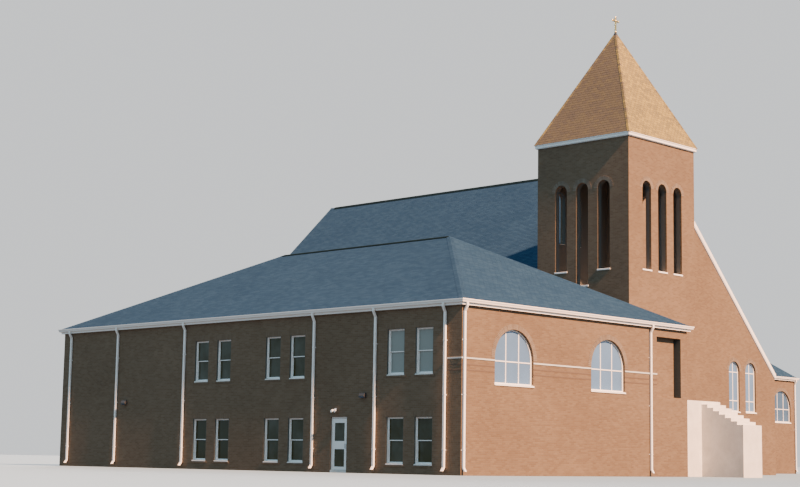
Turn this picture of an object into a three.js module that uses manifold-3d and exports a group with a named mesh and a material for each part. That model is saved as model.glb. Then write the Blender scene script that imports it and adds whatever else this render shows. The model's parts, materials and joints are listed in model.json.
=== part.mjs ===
// A modern brick church as a half-size model: a two-storey wing with a hipped roof, a high nave,
// a bell tower at the nave's front corner and a hall on the far side.
// Lengths are those of the real building in millimetres, and the finished group is scaled by modelScale.
// X runs along the front, Y goes back and Z is up. X and Y start at the wing's front left wall corner.

import * as THREE from 'three';
import { mergeVertices } from 'three/addons/utils/BufferGeometryUtils.js';
import { ConvexGeometry } from 'three/addons/geometries/ConvexGeometry.js';
import Module from 'manifold-3d';

const modelScale = 0.5;

// Shared by the whole building
const wall = 300;            // masonry thickness
const seat = 0.6;            // gap between sloping faces that bear on each other
const lap = 1;               // how far a cut or a joined piece runs past a shared face
const mainFloor = 3310;      // top of the main floor
const slab = 250;
const eaveTop = 6400;        // upper edge of the gutters of the wing and the hall
const wallTop = 6200;
const roofOverhang = 110;    // roof edge beyond the wall
const roofDepth = 260;       // roof build-up, measured upright
const gutter = { wide: 130, high: 130 };
const spout = { wide: 100, deep: 80, offWall: 20, foot: 150, bend: 200, drop: 120 };
const archSteps = 14;
const barrelSides = 12;
const archWindow = { wide: 2260, sill: 3390, top: 5470 };
const paneThick = 60;
const paneSetBack = 90;      // outer face of a pane behind the wall face
const sheetThick = 24;

// Wing
const wing = { wide: 14510, long: 25260, ridge: 10120 };
const wingHipRun = wing.wide / 2 + roofOverhang;
const frontArches = [2975, 8872];
const sashWidth = 900;
const sashPairSpacing = 1473;
const upperSash = { sill: 3722, top: 5453 };
const lowerSash = { sill: 374, top: 2134 };
const leftPairs = [2610, 9600, 14200];
const rearPairs = [3900, 10600];
const leftSpouts = [790, 4400, 7840, 16070, 20930, 24610];
const frontSpouts = [84, 11760];
const rearSpouts = [400, 14000];
const recess = { left: 12263, right: 14036, top: 5830, deep: 420, lining: 150 };
const lowerFloor = 100;

// Side door in the wing's left wall
const doorway = { front: 5930, back: 6830, top: 2150 };
const doorFrame = { face: 50, deep: 120, setBack: 60 };
const doorLeaf = { thick: 45, clear: 10 };
const hinge = { radius: 8, proud: 12, high: 50, plate: 30, thick: 6, heights: [250, 1050, 1850] };

// Tower
const tower = { left: 14510, front: 3018, side: 5236, top: 15200, corniceTop: 15380, apex: 20975 };
const corniceOverhang = 120;
const belfry = { wide: 675, sill: 9240, top: 13310, spacing: 1224, floor: 8400 };
const belfrySills = { leftMiddle: 8550, rear: 10800 };
const towerTip = 120;        // flat on the roof's point that the cross stands on
const towerRoofDepth = 200;
const towerDoor = { wide: 1830, top: 5440 };
const cross = { high: 925, wide: 560, bar: 90, armAt: 700, bud: 70, base: 130 };

// Nave
const nave = { left: 14510, right: 35560, front: 8254, back: 33150, ridgeX: 24730, ridge: 16120 };
const navePitch = 0.967;
const naveRoofDepth = 350;
const rake = { thick: 40, over: 40, under: 210, reach: 100 };
const tallWindow = { wide: 1040, sill: 3390, top: 6100 };
const tallWindowsFront = [31410, 33050];
const tallWindowsRear = [19200, 24730, 30260];

// Hall
const hall = { left: nave.right, right: 52700, front: 16880, deep: 12000, pitch: 0.76 };
const hallArches = [39170, 45060, 50950];
const hallSpouts = [52590];
const hallPairs = [20400, 25360];
const hallRearPairs = hallArches.slice(0, 2);

// Entrance landing and steps
const steps = { left: 16750, right: 18250, front: 760, riser: 150, tread: 300, count: 8 };

const wasm = await Module();
wasm.setup();

const material = (color, roughness, metalness = 0) =>
  new THREE.MeshStandardMaterial({ color, roughness, metalness });

const brick = material(0xb98c76, 0.9);
const slate = material(0x5c7484, 0.85);
const tanShingle = material(0xc49a70, 0.85);
const whiteTrim = material(0xe9ecee, 0.5);
const glass = material(0x50636a, 0.15);
const darkBronze = material(0x3c342c, 0.4, 0.5);
const concrete = material(0xcfc8bd, 0.9);
const gilt = material(0xd8b25a, 0.35, 0.8);

const church = new THREE.Group();
church.name = 'church';

function add(name, geometry, finish) {
  const mesh = new THREE.Mesh(geometry, finish);
  mesh.name = name;
  church.add(mesh);
}

// Solids

function box(low, high) {
  const size = high.map((value, i) => value - low[i]);
  const geometry = new THREE.BoxGeometry(...size);
  return geometry.translate(...low.map((value, i) => value + size[i] / 2));
}

function hull(points) {
  return new ConvexGeometry(points.map((point) => new THREE.Vector3(...point)));
}

function toManifold(geometry) {
  const bare = geometry.clone();
  bare.deleteAttribute('normal');
  bare.deleteAttribute('uv');
  const merged = mergeVertices(bare);
  return new wasm.Manifold(new wasm.Mesh({
    numProp: 3,
    vertProperties: Float32Array.from(merged.attributes.position.array),
    triVerts: Uint32Array.from(merged.index.array),
  }));
}

function fromManifold(solid) {
  const mesh = solid.getMesh();
  const geometry = new THREE.BufferGeometry();
  geometry.setAttribute('position', new THREE.BufferAttribute(mesh.vertProperties, 3));
  geometry.setIndex(new THREE.BufferAttribute(mesh.triVerts, 1));
  return geometry;
}

function joined(geometries) {
  return fromManifold(geometries.map(toManifold).reduce((sum, next) => sum.add(next)));
}

function cut(geometry, ...tools) {
  const solid = toManifold(geometry);
  return fromManifold(tools.map(toManifold).reduce((rest, tool) => rest.subtract(tool), solid));
}

// A flat shape drawn on a wall is given in two numbers, along the wall and up, and is extruded through it.

const alongX = new THREE.Matrix4().makeBasis(
  new THREE.Vector3(1, 0, 0),
  new THREE.Vector3(0, 0, 1),
  new THREE.Vector3(0, -1, 0),
);
const alongY = new THREE.Matrix4().makeBasis(
  new THREE.Vector3(0, 1, 0),
  new THREE.Vector3(0, 0, 1),
  new THREE.Vector3(1, 0, 0),
);

function extruded(outline, depth) {
  const shape = new THREE.Shape(outline.map(([along, up]) => new THREE.Vector2(along, up)));
  return new THREE.ExtrudeGeometry(shape, { depth, bevelEnabled: false });
}

function acrossY(outline, front, back) {
  return extruded(outline, back - front).applyMatrix4(alongX).translate(0, back, 0);
}

function acrossX(outline, left, right) {
  return extruded(outline, right - left).applyMatrix4(alongY).translate(left, 0, 0);
}

// A wall with its openings cut through it
function pierced(across, outline, holes, near, far) {
  return cut(across(outline, near, far), ...holes.map((hole) => across(hole, near - wall, far + wall)));
}

function rectangle(from, to, bottom, top) {
  return [[from, bottom], [to, bottom], [to, top], [from, top]];
}

function arch(centre, { wide, sill, top }, inset = 0) {
  const half = wide / 2 - inset;
  const spring = top - wide / 2;
  const points = [[centre - half, sill + inset], [centre + half, sill + inset]];
  for (let step = 0; step <= archSteps; step += 1) {
    const angle = Math.PI * step / archSteps;
    points.push([centre + half * Math.cos(angle), spring + half * Math.sin(angle)]);
  }
  return points;
}

function sashes(pairs, { sill, top }) {
  return pairs.flatMap((centre) => [-1, 1].map((side) => {
    const middle = centre + side * sashPairSpacing / 2;
    return rectangle(middle - sashWidth / 2, middle + sashWidth / 2, sill, top);
  }));
}

// Ends, along the wall and up, of the sheet that closes a storey's sash windows
function glassSheet(pairs, { sill, top }) {
  const reach = sashPairSpacing / 2 + sashWidth;
  const [from, to] = [Math.min(...pairs) - reach, Math.max(...pairs) + reach];
  return [[from, sill - paneThick], [to, top + paneThick]];
}

function archPane(centre, opening, front) {
  return acrossY(arch(centre, opening, seat), front, front + paneThick);
}

// Gutters and downspouts

function spoutOnFace(along, wallFace, outward, axis) {
  const near = wallFace + outward * spout.offWall;
  const far = near + outward * spout.deep;
  const outlet = wallFace + outward * (roofOverhang + gutter.wide / 2 - spout.deep / 2);
  const outletFar = outlet + outward * spout.deep;
  const gutterBottom = eaveTop - gutter.high;
  const dropBottom = gutterBottom - spout.drop;
  const bendBottom = dropBottom - spout.bend;
  const place = (across, side, up) => (axis === 'x' ? [across, side, up] : [side, across, up]);
  const sides = [along - spout.wide / 2, along + spout.wide / 2];
  const ring = (low, high, up) => sides.flatMap((side) => [place(low, side, up), place(high, side, up)]);
  return [
    hull([...ring(near, far, spout.foot), ...ring(near, far, bendBottom)]),
    hull([...ring(near, far, bendBottom), ...ring(outlet, outletFar, dropBottom)]),
    hull([...ring(outlet, outletFar, dropBottom), ...ring(outlet, outletFar, eaveTop - gutter.high / 2)]),
  ];
}

function gutterRun(low, high) {
  return box([...low, eaveTop - gutter.high], [...high, eaveTop]);
}

function wingGutter() {
  const inner = roofOverhang;
  const outer = roofOverhang + gutter.wide;
  const back = wing.long + outer;
  const right = wing.wide + outer;
  return joined([
    gutterRun([-outer, -outer], [-inner, back]),
    gutterRun([-outer, -outer], [right, -inner]),
    gutterRun([-outer, wing.long + inner], [wing.wide, back]),
    gutterRun([wing.wide + inner, -outer], [right, tower.front]),
    ...leftSpouts.flatMap((along) => spoutOnFace(along, 0, -1, 'x')),
    ...frontSpouts.flatMap((along) => spoutOnFace(along, 0, -1, 'y')),
    ...rearSpouts.flatMap((along) => spoutOnFace(along, wing.long, 1, 'y')),
  ]);
}

function hallGutter() {
  const inner = roofOverhang;
  const outer = roofOverhang + gutter.wide;
  const back = hall.front + hall.deep;
  const right = hall.right + outer;
  return joined([
    gutterRun([hall.left, hall.front - outer], [right, hall.front - inner]),
    gutterRun([hall.right + inner, hall.front - outer], [right, back + outer]),
    gutterRun([hall.left, back + inner], [right, back + outer]),
    ...hallSpouts.flatMap((along) => spoutOnFace(along, hall.front, -1, 'y')),
    ...hallSpouts.flatMap((along) => spoutOnFace(along, back, 1, 'y')),
  ]);
}

// Roofs

const naveSeat = seat * Math.hypot(1, navePitch);

function naveRoofHeight(x) {
  return nave.ridge - navePitch * Math.abs(x - nave.ridgeX);
}

function belowNaveRoof(x) {
  return [x, naveRoofHeight(x) - naveRoofDepth - naveSeat];
}

function onNaveRoof(x) {
  return [x, naveRoofHeight(x) + naveSeat];
}

// The space below the top of one nave slope, to cut away what bears on the slope
function underNaveRoof(fromX, toX, front, back) {
  return acrossY([[fromX, 0], [toX, 0], onNaveRoof(toX), onNaveRoof(fromX)], front, back);
}

function wingRoof() {
  const over = roofOverhang;
  const back = wing.long;
  const ridgeX = wing.wide / 2;
  const hipEnds = [wingHipRun - over, back + over - wingHipRun];
  const slope = (wing.ridge - eaveTop) / wingHipRun;
  const eaves = (inset, up) => [
    [inset, inset, up],
    [wing.wide - inset, inset, up],
    [wing.wide - inset, back - inset, up],
    [inset, back - inset, up],
  ];
  const innerEave = eaveTop + slope * (over + wall) - roofDepth;
  const outer = hull([
    ...eaves(-over, wallTop),
    ...eaves(-over, eaveTop),
    ...hipEnds.map((y) => [ridgeX, y, wing.ridge]),
  ]);
  const inner = hull([
    ...eaves(wall, wallTop - slab),
    ...eaves(wall, innerEave),
    ...hipEnds.map((y) => [ridgeX, y, wing.ridge - roofDepth]),
  ]);
  const besideTower = box([wing.wide, tower.front, 0], [wing.wide + 2 * over, nave.front, wing.ridge]);
  const besideNave = underNaveRoof(wing.wide, nave.ridgeX, nave.front - lap, back + 2 * over);
  return cut(outer, inner, besideTower, besideNave);
}

function hallRoof() {
  const over = roofOverhang;
  const back = hall.front + hall.deep;
  const middle = hall.front + hall.deep / 2;
  const run = hall.deep / 2 + over;
  const ridge = eaveTop + hall.pitch * run;
  const hipEnd = hall.right + over - run;
  const farLeft = nave.ridgeX;
  const ends = (inset, up) => [
    [farLeft, hall.front + inset, up],
    [hall.right - inset, hall.front + inset, up],
    [hall.right - inset, back - inset, up],
    [farLeft, back - inset, up],
  ];
  const innerEave = eaveTop + hall.pitch * (over + wall) - roofDepth;
  const outer = hull([
    ...ends(-over, wallTop),
    ...ends(-over, eaveTop),
    [farLeft, middle, ridge],
    [hipEnd, middle, ridge],
  ]);
  const inner = hull([
    ...ends(wall, wallTop - slab),
    ...ends(wall, innerEave),
    [farLeft, middle, ridge - roofDepth],
    [hipEnd, middle, ridge - roofDepth],
  ]);
  const lowX = nave.ridgeX + (nave.ridge - wallTop / 2) / navePitch;
  const onNave = underNaveRoof(nave.ridgeX, lowX, hall.front - 2 * over, back + 2 * over);
  return cut(outer, inner, onNave);
}

function naveRoofSlope(eaveX) {
  const eave = naveRoofHeight(eaveX);
  return acrossY([
    [nave.ridgeX, nave.ridge],
    [nave.ridgeX, nave.ridge - naveRoofDepth],
    [eaveX, eave - naveRoofDepth],
    [eaveX, eave],
  ], nave.front, nave.back);
}

function rakeBoard(front, leftEnd) {
  const rightEnd = nave.right + rake.reach;
  const line = (x, lift) => [x, naveRoofHeight(x) + lift];
  return acrossY([
    line(leftEnd, -rake.under),
    line(nave.ridgeX, -rake.under),
    line(rightEnd, -rake.under),
    line(rightEnd, rake.over),
    line(nave.ridgeX, rake.over),
    line(leftEnd, rake.over),
  ], front, front + rake.thick);
}

function towerRoof() {
  const base = tower.corniceTop;
  const centre = [tower.left + tower.side / 2, tower.front + tower.side / 2];
  const square = (half, up) => [[-1, -1], [1, -1], [1, 1], [-1, 1]].map(
    ([x, y]) => [centre[0] + x * half, centre[1] + y * half, up],
  );
  const half = tower.side / 2 + corniceOverhang;
  const flat = tower.apex - (tower.apex - base) * towerTip / 2 / half;
  const innerHalf = half - wall - corniceOverhang;
  const innerTop = base + (tower.apex - base) * innerHalf / half;
  const outer = hull([...square(half, base), ...square(towerTip / 2, flat)]);
  const inner = hull([
    ...square(innerHalf, base - slab),
    ...square(innerHalf, base + towerRoofDepth),
    [...centre, innerTop - towerRoofDepth],
  ]);
  return { solid: cut(outer, inner), centre, flat };
}

// Walls

function naveSideWall(left, right) {
  const outline = [[left, 0], [right, 0], belowNaveRoof(right), belowNaveRoof(left)];
  return acrossY(outline, nave.front + wall, nave.back - wall);
}

function addWing() {
  const back = wing.long - wall;
  const right = wing.wide - wall;
  const frontHoles = [
    ...frontArches.map((centre) => arch(centre, archWindow)),
    rectangle(recess.left, recess.right, mainFloor, recess.top),
  ];
  const frontFace = pierced(acrossY, rectangle(0, wing.wide, 0, wallTop), frontHoles, 0, wall);
  const recessBack = recess.deep + recess.lining;
  const recessLining = cut(
    box(
      [recess.left - recess.lining, wall - lap, mainFloor],
      [right, recessBack, recess.top + recess.lining],
    ),
    box([recess.left, 0, mainFloor - lap], [recess.right, recess.deep, recess.top]),
  );
  add('wing_front_wall', joined([frontFace, recessLining]), brick);

  const leftHoles = (pairs) => [...sashes(pairs, upperSash), ...sashes(pairs, lowerSash)];
  const leftPart = (from, to, pairs) => (
    pierced(acrossX, rectangle(from, to, 0, wallTop), leftHoles(pairs), 0, wall)
  );
  add('wing_left_wall_front', leftPart(wall, doorway.front, leftPairs.slice(0, 1)), brick);
  add('wing_left_wall_back', leftPart(doorway.back, back, leftPairs.slice(1)), brick);
  const overDoor = box([0, doorway.front, doorway.top], [wall, doorway.back, wallTop]);
  add('wing_left_wall_over_door', overDoor, brick);

  const rearHoles = [...sashes(rearPairs, upperSash), ...sashes(rearPairs, lowerSash)];
  const rearFace = rectangle(0, wing.wide, 0, wallTop);
  add('wing_rear_wall', pierced(acrossY, rearFace, rearHoles, back, wing.long), brick);
  add('wing_right_wall', box([right, wall, 0], [wing.wide, back, wallTop]), brick);

  add('wing_lower_floor', box([wall, wall, 0], [right, back, lowerFloor]), concrete);
  const upperFloor = box([wall, wall, mainFloor - slab], [right, back, mainFloor]);
  const besideRecess = box([recess.left - wall, wall - lap, 0], [right + lap, recessBack + seat, wallTop]);
  add('wing_upper_floor', cut(upperFloor, besideRecess), concrete);
  add('wing_roof', wingRoof(), slate);
  add('wing_gutter', wingGutter(), whiteTrim);

  frontArches.forEach((centre, i) => {
    add(`wing_front_window_${i + 1}`, archPane(centre, archWindow, paneSetBack), glass);
  });
  const leftSheet = (name, pairs, storey) => {
    const [[from, bottom], [to, top]] = glassSheet(pairs, storey);
    add(name, box([wall, Math.max(from, wall), bottom], [wall + sheetThick, to, top]), glass);
  };
  leftSheet('wing_left_glass_upper', leftPairs, upperSash);
  leftSheet('wing_left_glass_lower_front', leftPairs.slice(0, 1), lowerSash);
  leftSheet('wing_left_glass_lower_back', leftPairs.slice(1), lowerSash);
  [['wing_rear_glass_upper', upperSash], ['wing_rear_glass_lower', lowerSash]].forEach(([name, storey]) => {
    const [[from, bottom], [to, top]] = glassSheet(rearPairs, storey);
    add(name, box([from, back - sheetThick, bottom], [to, back, top]), glass);
  });
}

function addSideDoor() {
  const { front, back, top } = doorway;
  const outer = doorFrame.setBack;
  const leafBack = back - doorFrame.face - doorLeaf.clear;
  const leafFront = front + doorFrame.face + doorLeaf.clear;
  const axisY = leafBack + doorLeaf.clear / 2;
  const axisX = outer - hinge.proud;
  const knuckle = (from) => {
    const barrel = new THREE.CylinderGeometry(hinge.radius, hinge.radius, hinge.high, barrelSides);
    return barrel.rotateX(Math.PI / 2).translate(axisX, axisY, from + hinge.high / 2);
  };
  const plate = (from, alongFrom, alongTo) => box(
    [outer - hinge.thick - lap, alongFrom, from],
    [outer + lap, alongTo, from + hinge.high],
  );
  const web = (from, side) => box(
    [axisX, Math.min(axisY, axisY + side * hinge.radius), from],
    [outer + lap, Math.max(axisY, axisY + side * hinge.radius), from + hinge.high],
  );
  const surround = [
    [front, lowerFloor],
    [front + doorFrame.face, lowerFloor],
    [front + doorFrame.face, top - doorFrame.face],
    [back - doorFrame.face, top - doorFrame.face],
    [back - doorFrame.face, lowerFloor],
    [back, lowerFloor],
    [back, top],
    [front, top],
  ];
  const frameKnuckles = hinge.heights.flatMap((from) => [
    knuckle(from),
    web(from, 1),
    plate(from, axisY, axisY + hinge.plate + doorLeaf.clear / 2),
  ]);
  const leafKnuckles = hinge.heights.map((from) => from + hinge.high + seat).flatMap((from) => [
    knuckle(from),
    web(from, -1),
    plate(from, axisY - hinge.plate - doorLeaf.clear / 2, axisY),
  ]);
  const leaf = box(
    [outer, leafFront, lowerFloor + doorLeaf.clear],
    [outer + doorLeaf.thick, leafBack, top - doorFrame.face - doorLeaf.clear],
  );
  add('side_door_sill', box([0, front, 0], [wall, back, lowerFloor]), concrete);
  const casing = acrossX(surround, outer, outer + doorFrame.deep);
  add('side_door_frame', joined([casing, ...frameKnuckles]), whiteTrim);
  add('side_door', joined([leaf, ...leafKnuckles]), whiteTrim);
}

function addTower() {
  const { left, front, side, top } = tower;
  const right = left + side;
  const back = front + side;
  const centreX = left + side / 2;
  const centreY = front + side / 2;
  const arches = (centre, outerSill, middleSill) => [-1, 0, 1].map((place) => arch(
    centre + place * belfry.spacing,
    { ...belfry, sill: place === 0 ? middleSill : outerSill },
  ));
  const doorHalf = towerDoor.wide / 2;
  const doorHole = rectangle(centreX - doorHalf, centreX + doorHalf, mainFloor, towerDoor.top);
  const face = rectangle(left, right, 0, top);
  const frontHoles = [...arches(centreX, belfry.sill, belfry.sill), doorHole];
  const rearHoles = arches(centreX, belfrySills.rear, belfrySills.rear);
  add('tower_front_wall', pierced(acrossY, face, frontHoles, front, front + wall), brick);
  add('tower_rear_wall', pierced(acrossY, face, rearHoles, back - wall, back), brick);
  const sideWall = (middleSill, near) => pierced(
    acrossX,
    rectangle(front + wall, back - wall, 0, top),
    arches(centreY, belfry.sill, middleSill),
    near,
    near + wall,
  );
  add('tower_left_wall', sideWall(belfrySills.leftMiddle, left), brick);
  add('tower_right_wall', sideWall(belfry.sill, right - wall), brick);

  const inside = (bottom, up) => box([left + wall, front + wall, bottom], [right - wall, back - wall, up]);
  add('tower_entrance_floor', inside(mainFloor - slab, mainFloor), concrete);
  add('belfry_floor', inside(belfry.floor - slab, belfry.floor), concrete);

  add('tower_entrance_doors', box(
    [centreX - doorHalf, front + paneSetBack, mainFloor],
    [centreX + doorHalf, front + paneSetBack + paneThick, towerDoor.top],
  ), darkBronze);

  const over = corniceOverhang;
  const ring = cut(
    box([left - over, front - over, top], [right + over, back + over, tower.corniceTop]),
    box([left + wall, front + wall, top - lap], [right - wall, back - wall, tower.corniceTop + lap]),
  );
  add('tower_cornice', ring, whiteTrim);

  const roof = towerRoof();
  add('tower_roof', roof.solid, tanShingle);
  addCross(roof.centre, roof.flat);
}

function addCross([x, y], foot) {
  const bar = cross.bar / 2;
  const top = foot + cross.high;
  const arm = foot + cross.armAt;
  const half = cross.wide / 2;
  const budAt = (along, up) => {
    const bud = new THREE.CylinderGeometry(cross.bud, cross.bud, cross.bar, barrelSides);
    return bud.translate(x + along, y, up);
  };
  const base = cross.base / 2;
  const solids = [
    box([x - base, y - base, foot], [x + base, y + base, foot + cross.base]),
    box([x - bar, y - bar, foot], [x + bar, y + bar, top - cross.bud]),
    box([x - half + cross.bud, y - bar, arm - bar], [x + half - cross.bud, y + bar, arm + bar]),
    budAt(0, top - cross.bud),
    budAt(half - cross.bud, arm),
    budAt(cross.bud - half, arm),
  ];
  add('tower_cross', joined(solids), gilt);
}

function addNave() {
  const frontHoles = tallWindowsFront.map((centre) => arch(centre, tallWindow));
  const rearHoles = tallWindowsRear.map((centre) => arch(centre, tallWindow));
  const gable = [
    [nave.left, 0],
    [nave.right, 0],
    belowNaveRoof(nave.right),
    belowNaveRoof(nave.ridgeX),
    belowNaveRoof(nave.left),
  ];
  add('nave_front_gable', pierced(acrossY, gable, frontHoles, nave.front, nave.front + wall), brick);
  add('nave_rear_gable', pierced(acrossY, gable, rearHoles, nave.back - wall, nave.back), brick);
  add('nave_left_wall', naveSideWall(nave.left, nave.left + wall), brick);
  add('nave_right_wall', naveSideWall(nave.right - wall, nave.right), brick);
  add('nave_floor', box(
    [nave.left + wall, nave.front + wall, mainFloor - slab],
    [nave.right - wall, nave.back - wall, mainFloor],
  ), concrete);
  add('nave_roof_left', naveRoofSlope(nave.left), slate);
  add('nave_roof_right', naveRoofSlope(nave.right), slate);
  add('nave_rake_front', rakeBoard(nave.front - rake.thick, tower.left + tower.side), whiteTrim);
  add('nave_rake_rear', rakeBoard(nave.back, nave.left), whiteTrim);
  tallWindowsFront.forEach((centre, i) => {
    add(`nave_front_window_${i + 1}`, archPane(centre, tallWindow, nave.front + paneSetBack), glass);
  });
  tallWindowsRear.forEach((centre, i) => {
    const front = nave.back - paneSetBack - paneThick;
    add(`nave_rear_window_${i + 1}`, archPane(centre, tallWindow, front), glass);
  });
}

function addHall() {
  const back = hall.front + hall.deep;
  const cheek = nave.ridgeX + (nave.ridge - wallTop) / navePitch;
  const outline = [
    [hall.left, 0],
    [hall.right, 0],
    [hall.right, wallTop],
    [cheek + naveSeat, wallTop],
    onNaveRoof(hall.left),
  ];
  const frontHoles = hallArches.map((centre) => arch(centre, archWindow));
  const rearHoles = [...sashes(hallRearPairs, upperSash), ...sashes(hallRearPairs, lowerSash)];
  add('hall_front_wall', pierced(acrossY, outline, frontHoles, hall.front, hall.front + wall), brick);
  add('hall_rear_wall', pierced(acrossY, outline, rearHoles, back - wall, back), brick);
  const rightFace = rectangle(hall.front + wall, back - wall, 0, wallTop);
  const rightHoles = [...sashes(hallPairs, upperSash), ...sashes(hallPairs, lowerSash)];
  add('hall_right_wall', pierced(acrossX, rightFace, rightHoles, hall.right - wall, hall.right), brick);
  const inside = (bottom, up) => box(
    [hall.left, hall.front + wall, bottom],
    [hall.right - wall, back - wall, up],
  );
  add('hall_lower_floor', inside(0, lowerFloor), concrete);
  add('hall_upper_floor', inside(mainFloor - slab, mainFloor), concrete);
  add('hall_roof', hallRoof(), slate);
  add('hall_gutter', hallGutter(), whiteTrim);
  hallArches.forEach((centre, i) => {
    add(`hall_front_window_${i + 1}`, archPane(centre, archWindow, hall.front + paneSetBack), glass);
  });
  const inner = [hall.right - wall, back - wall];
  [['upper', upperSash], ['lower', lowerSash]].forEach(([storey, sash]) => {
    const [[rightFrom, bottom], [rightTo, top]] = glassSheet(hallPairs, sash);
    add(`hall_right_glass_${storey}`, box(
      [inner[0] - sheetThick, rightFrom, bottom],
      [inner[0], rightTo, top],
    ), glass);
    const [[rearFrom], [rearTo]] = glassSheet(hallRearPairs, sash);
    add(`hall_rear_glass_${storey}`, box(
      [rearFrom, inner[1] - sheetThick, bottom],
      [rearTo, inner[1], top],
    ), glass);
  });
}

function addEntranceSteps() {
  const { left, right, front, riser, tread, count } = steps;
  const outline = [[tower.front, 0], [tower.front, mainFloor], [front, mainFloor]];
  for (let step = 1; step < count; step += 1) {
    const edge = front - (step - 1) * tread;
    outline.push([edge, mainFloor - step * riser], [edge - tread, mainFloor - step * riser]);
  }
  const nose = front - (count - 1) * tread;
  outline.push([nose, 0]);
  const flight = acrossX(outline.reverse(), left, right);
  const landing = box([wing.wide, front, 0], [left + lap, tower.front, mainFloor]);
  add('entrance_steps', joined([flight, landing]), concrete);
}

addWing();
addSideDoor();
addTower();
addNave();
addHall();
addEntranceSteps();

// The origin is at the middle of the building's box, on the ground
const middle = new THREE.Box3().setFromObject(church).getCenter(new THREE.Vector3());
church.scale.setScalar(modelScale);
church.position.set(-middle.x * modelScale, -middle.y * modelScale, 0);
church.updateMatrixWorld(true);

export default church;
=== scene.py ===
import bpy
import bmesh
import json
import math
from mathutils import Matrix, Vector


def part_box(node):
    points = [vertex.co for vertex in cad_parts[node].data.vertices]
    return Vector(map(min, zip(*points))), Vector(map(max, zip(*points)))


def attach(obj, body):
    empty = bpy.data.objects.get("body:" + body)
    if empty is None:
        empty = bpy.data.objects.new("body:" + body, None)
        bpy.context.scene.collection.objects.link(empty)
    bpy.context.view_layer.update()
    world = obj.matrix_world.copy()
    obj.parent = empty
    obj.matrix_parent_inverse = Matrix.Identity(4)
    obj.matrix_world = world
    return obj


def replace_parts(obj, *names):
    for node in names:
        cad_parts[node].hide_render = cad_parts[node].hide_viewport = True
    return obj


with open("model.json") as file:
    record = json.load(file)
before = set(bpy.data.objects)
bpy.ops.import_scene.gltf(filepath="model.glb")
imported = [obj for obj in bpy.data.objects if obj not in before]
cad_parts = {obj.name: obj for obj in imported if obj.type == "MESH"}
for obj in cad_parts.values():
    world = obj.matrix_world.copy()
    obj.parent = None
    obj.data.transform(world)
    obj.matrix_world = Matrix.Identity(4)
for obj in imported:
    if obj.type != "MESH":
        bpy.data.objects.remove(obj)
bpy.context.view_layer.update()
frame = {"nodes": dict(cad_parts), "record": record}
print("frame loaded:", len(frame["nodes"]), "nodes")

# Lengths below are those of the real building in millimetres, measured from the wing's
# front left corner on the ground. The model stands at half that size, in metres.
realMillimetre = 0.0005
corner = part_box("wing_front_wall")[0]


def place(x, y, z):
    return corner + Vector((x, y, z)) * realMillimetre


def span(node):
    # the node's lowest and highest corner, back in real millimetres
    return [(end - corner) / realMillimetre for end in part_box(node)]


wingLeft, wingRight = 0.0, span("wing_front_wall")[1].x
wingFront, wingBack = 0.0, span("wing_rear_wall")[1].y
towerLow, towerHigh = span("tower_front_wall")[0], span("tower_rear_wall")[1]
naveLow, naveHigh = span("nave_front_gable")[0], span("nave_rear_gable")[1]
hallLow, hallHigh = span("hall_front_wall")[0], span("hall_rear_wall")[1]
wallTop = span("wing_front_wall")[1].z
eaveTop = span("wing_gutter")[1].z
mainFloor = span("nave_floor")[1].z
roofOverhang = -span("wing_roof")[0].x
wingRidge = span("wing_roof")[1].z
naveRidge = span("nave_roof_left")[1].z
naveRidgeX = span("nave_roof_left")[1].x
naveEaveLeft, naveEaveRight = span("nave_roof_left")[0].x, span("nave_roof_right")[1].x
navePitch = 0.967
hallPitch = 0.76

# Shapes that several pieces of the roofs share
wingRun = wingRight / 2 + roofOverhang
wingPitch = (wingRidge - eaveTop) / wingRun
hallRun = (hallHigh.y - hallLow.y) / 2 + roofOverhang
hallRidge = eaveTop + hallPitch * hallRun
hallMiddle = (hallLow.y + hallHigh.y) / 2
towerEave = span("tower_cornice")[1].z
towerRoofLow, towerRoofHigh = span("tower_roof")
towerTip = 120


def naveHeight(x):
    return naveRidge - navePitch * abs(x - naveRidgeX)


def standing(origin, right, up, out):
    # the matrix that stands X, Y and Z along these three directions
    return Matrix.Translation(origin) @ Matrix((right, up, out)).transposed().to_4x4()


# Camera and light

camera = {
    "place": (-42938, -38325, 549),
    "yaw": 45.947, "pitch": 7.771, "roll": 0.9085,
    "lens": 71.17, "sensor": 36.0, "seesTo": 1000.0,
}
light = {
    "key": {"travel": (0.034, 1.0, -0.85), "strength": 20.7, "angle": 1.8, "color": (1.0, 0.54, 0.313)},
    "back": {"travel": (-0.8, -1.0, -0.45), "strength": 3.0, "angle": 20.0, "color": (1.0, 0.93, 0.86)},
    "fill": (0.50, 0.76, 0.95), "fillStrength": 0.97,
    "backdrop": (0.92, 0.94, 0.96),
    "floorColor": (0.225, 0.335, 0.43), "floorBounce": (0.03, 0.045, 0.06), "floorSize": 400.0,
}


def addCamera(look):
    yaw, pitch, roll = (math.radians(look[key]) for key in ("yaw", "pitch", "roll"))
    forward = Vector((math.sin(yaw) * math.cos(pitch), math.cos(yaw) * math.cos(pitch), math.sin(pitch)))
    level = Vector((math.cos(yaw), -math.sin(yaw), 0))
    upright = level.cross(forward)
    right = level * math.cos(roll) + upright * math.sin(roll)
    up = upright * math.cos(roll) - level * math.sin(roll)
    data = bpy.data.cameras.new("camera")
    data.lens, data.sensor_width = look["lens"], look["sensor"]
    data.clip_end = look["seesTo"]
    seen = bpy.data.objects.new("camera", data)
    bpy.context.scene.collection.objects.link(seen)
    seen.matrix_world = standing(place(*look["place"]), right, up, -forward)
    bpy.context.scene.camera = seen


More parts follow.
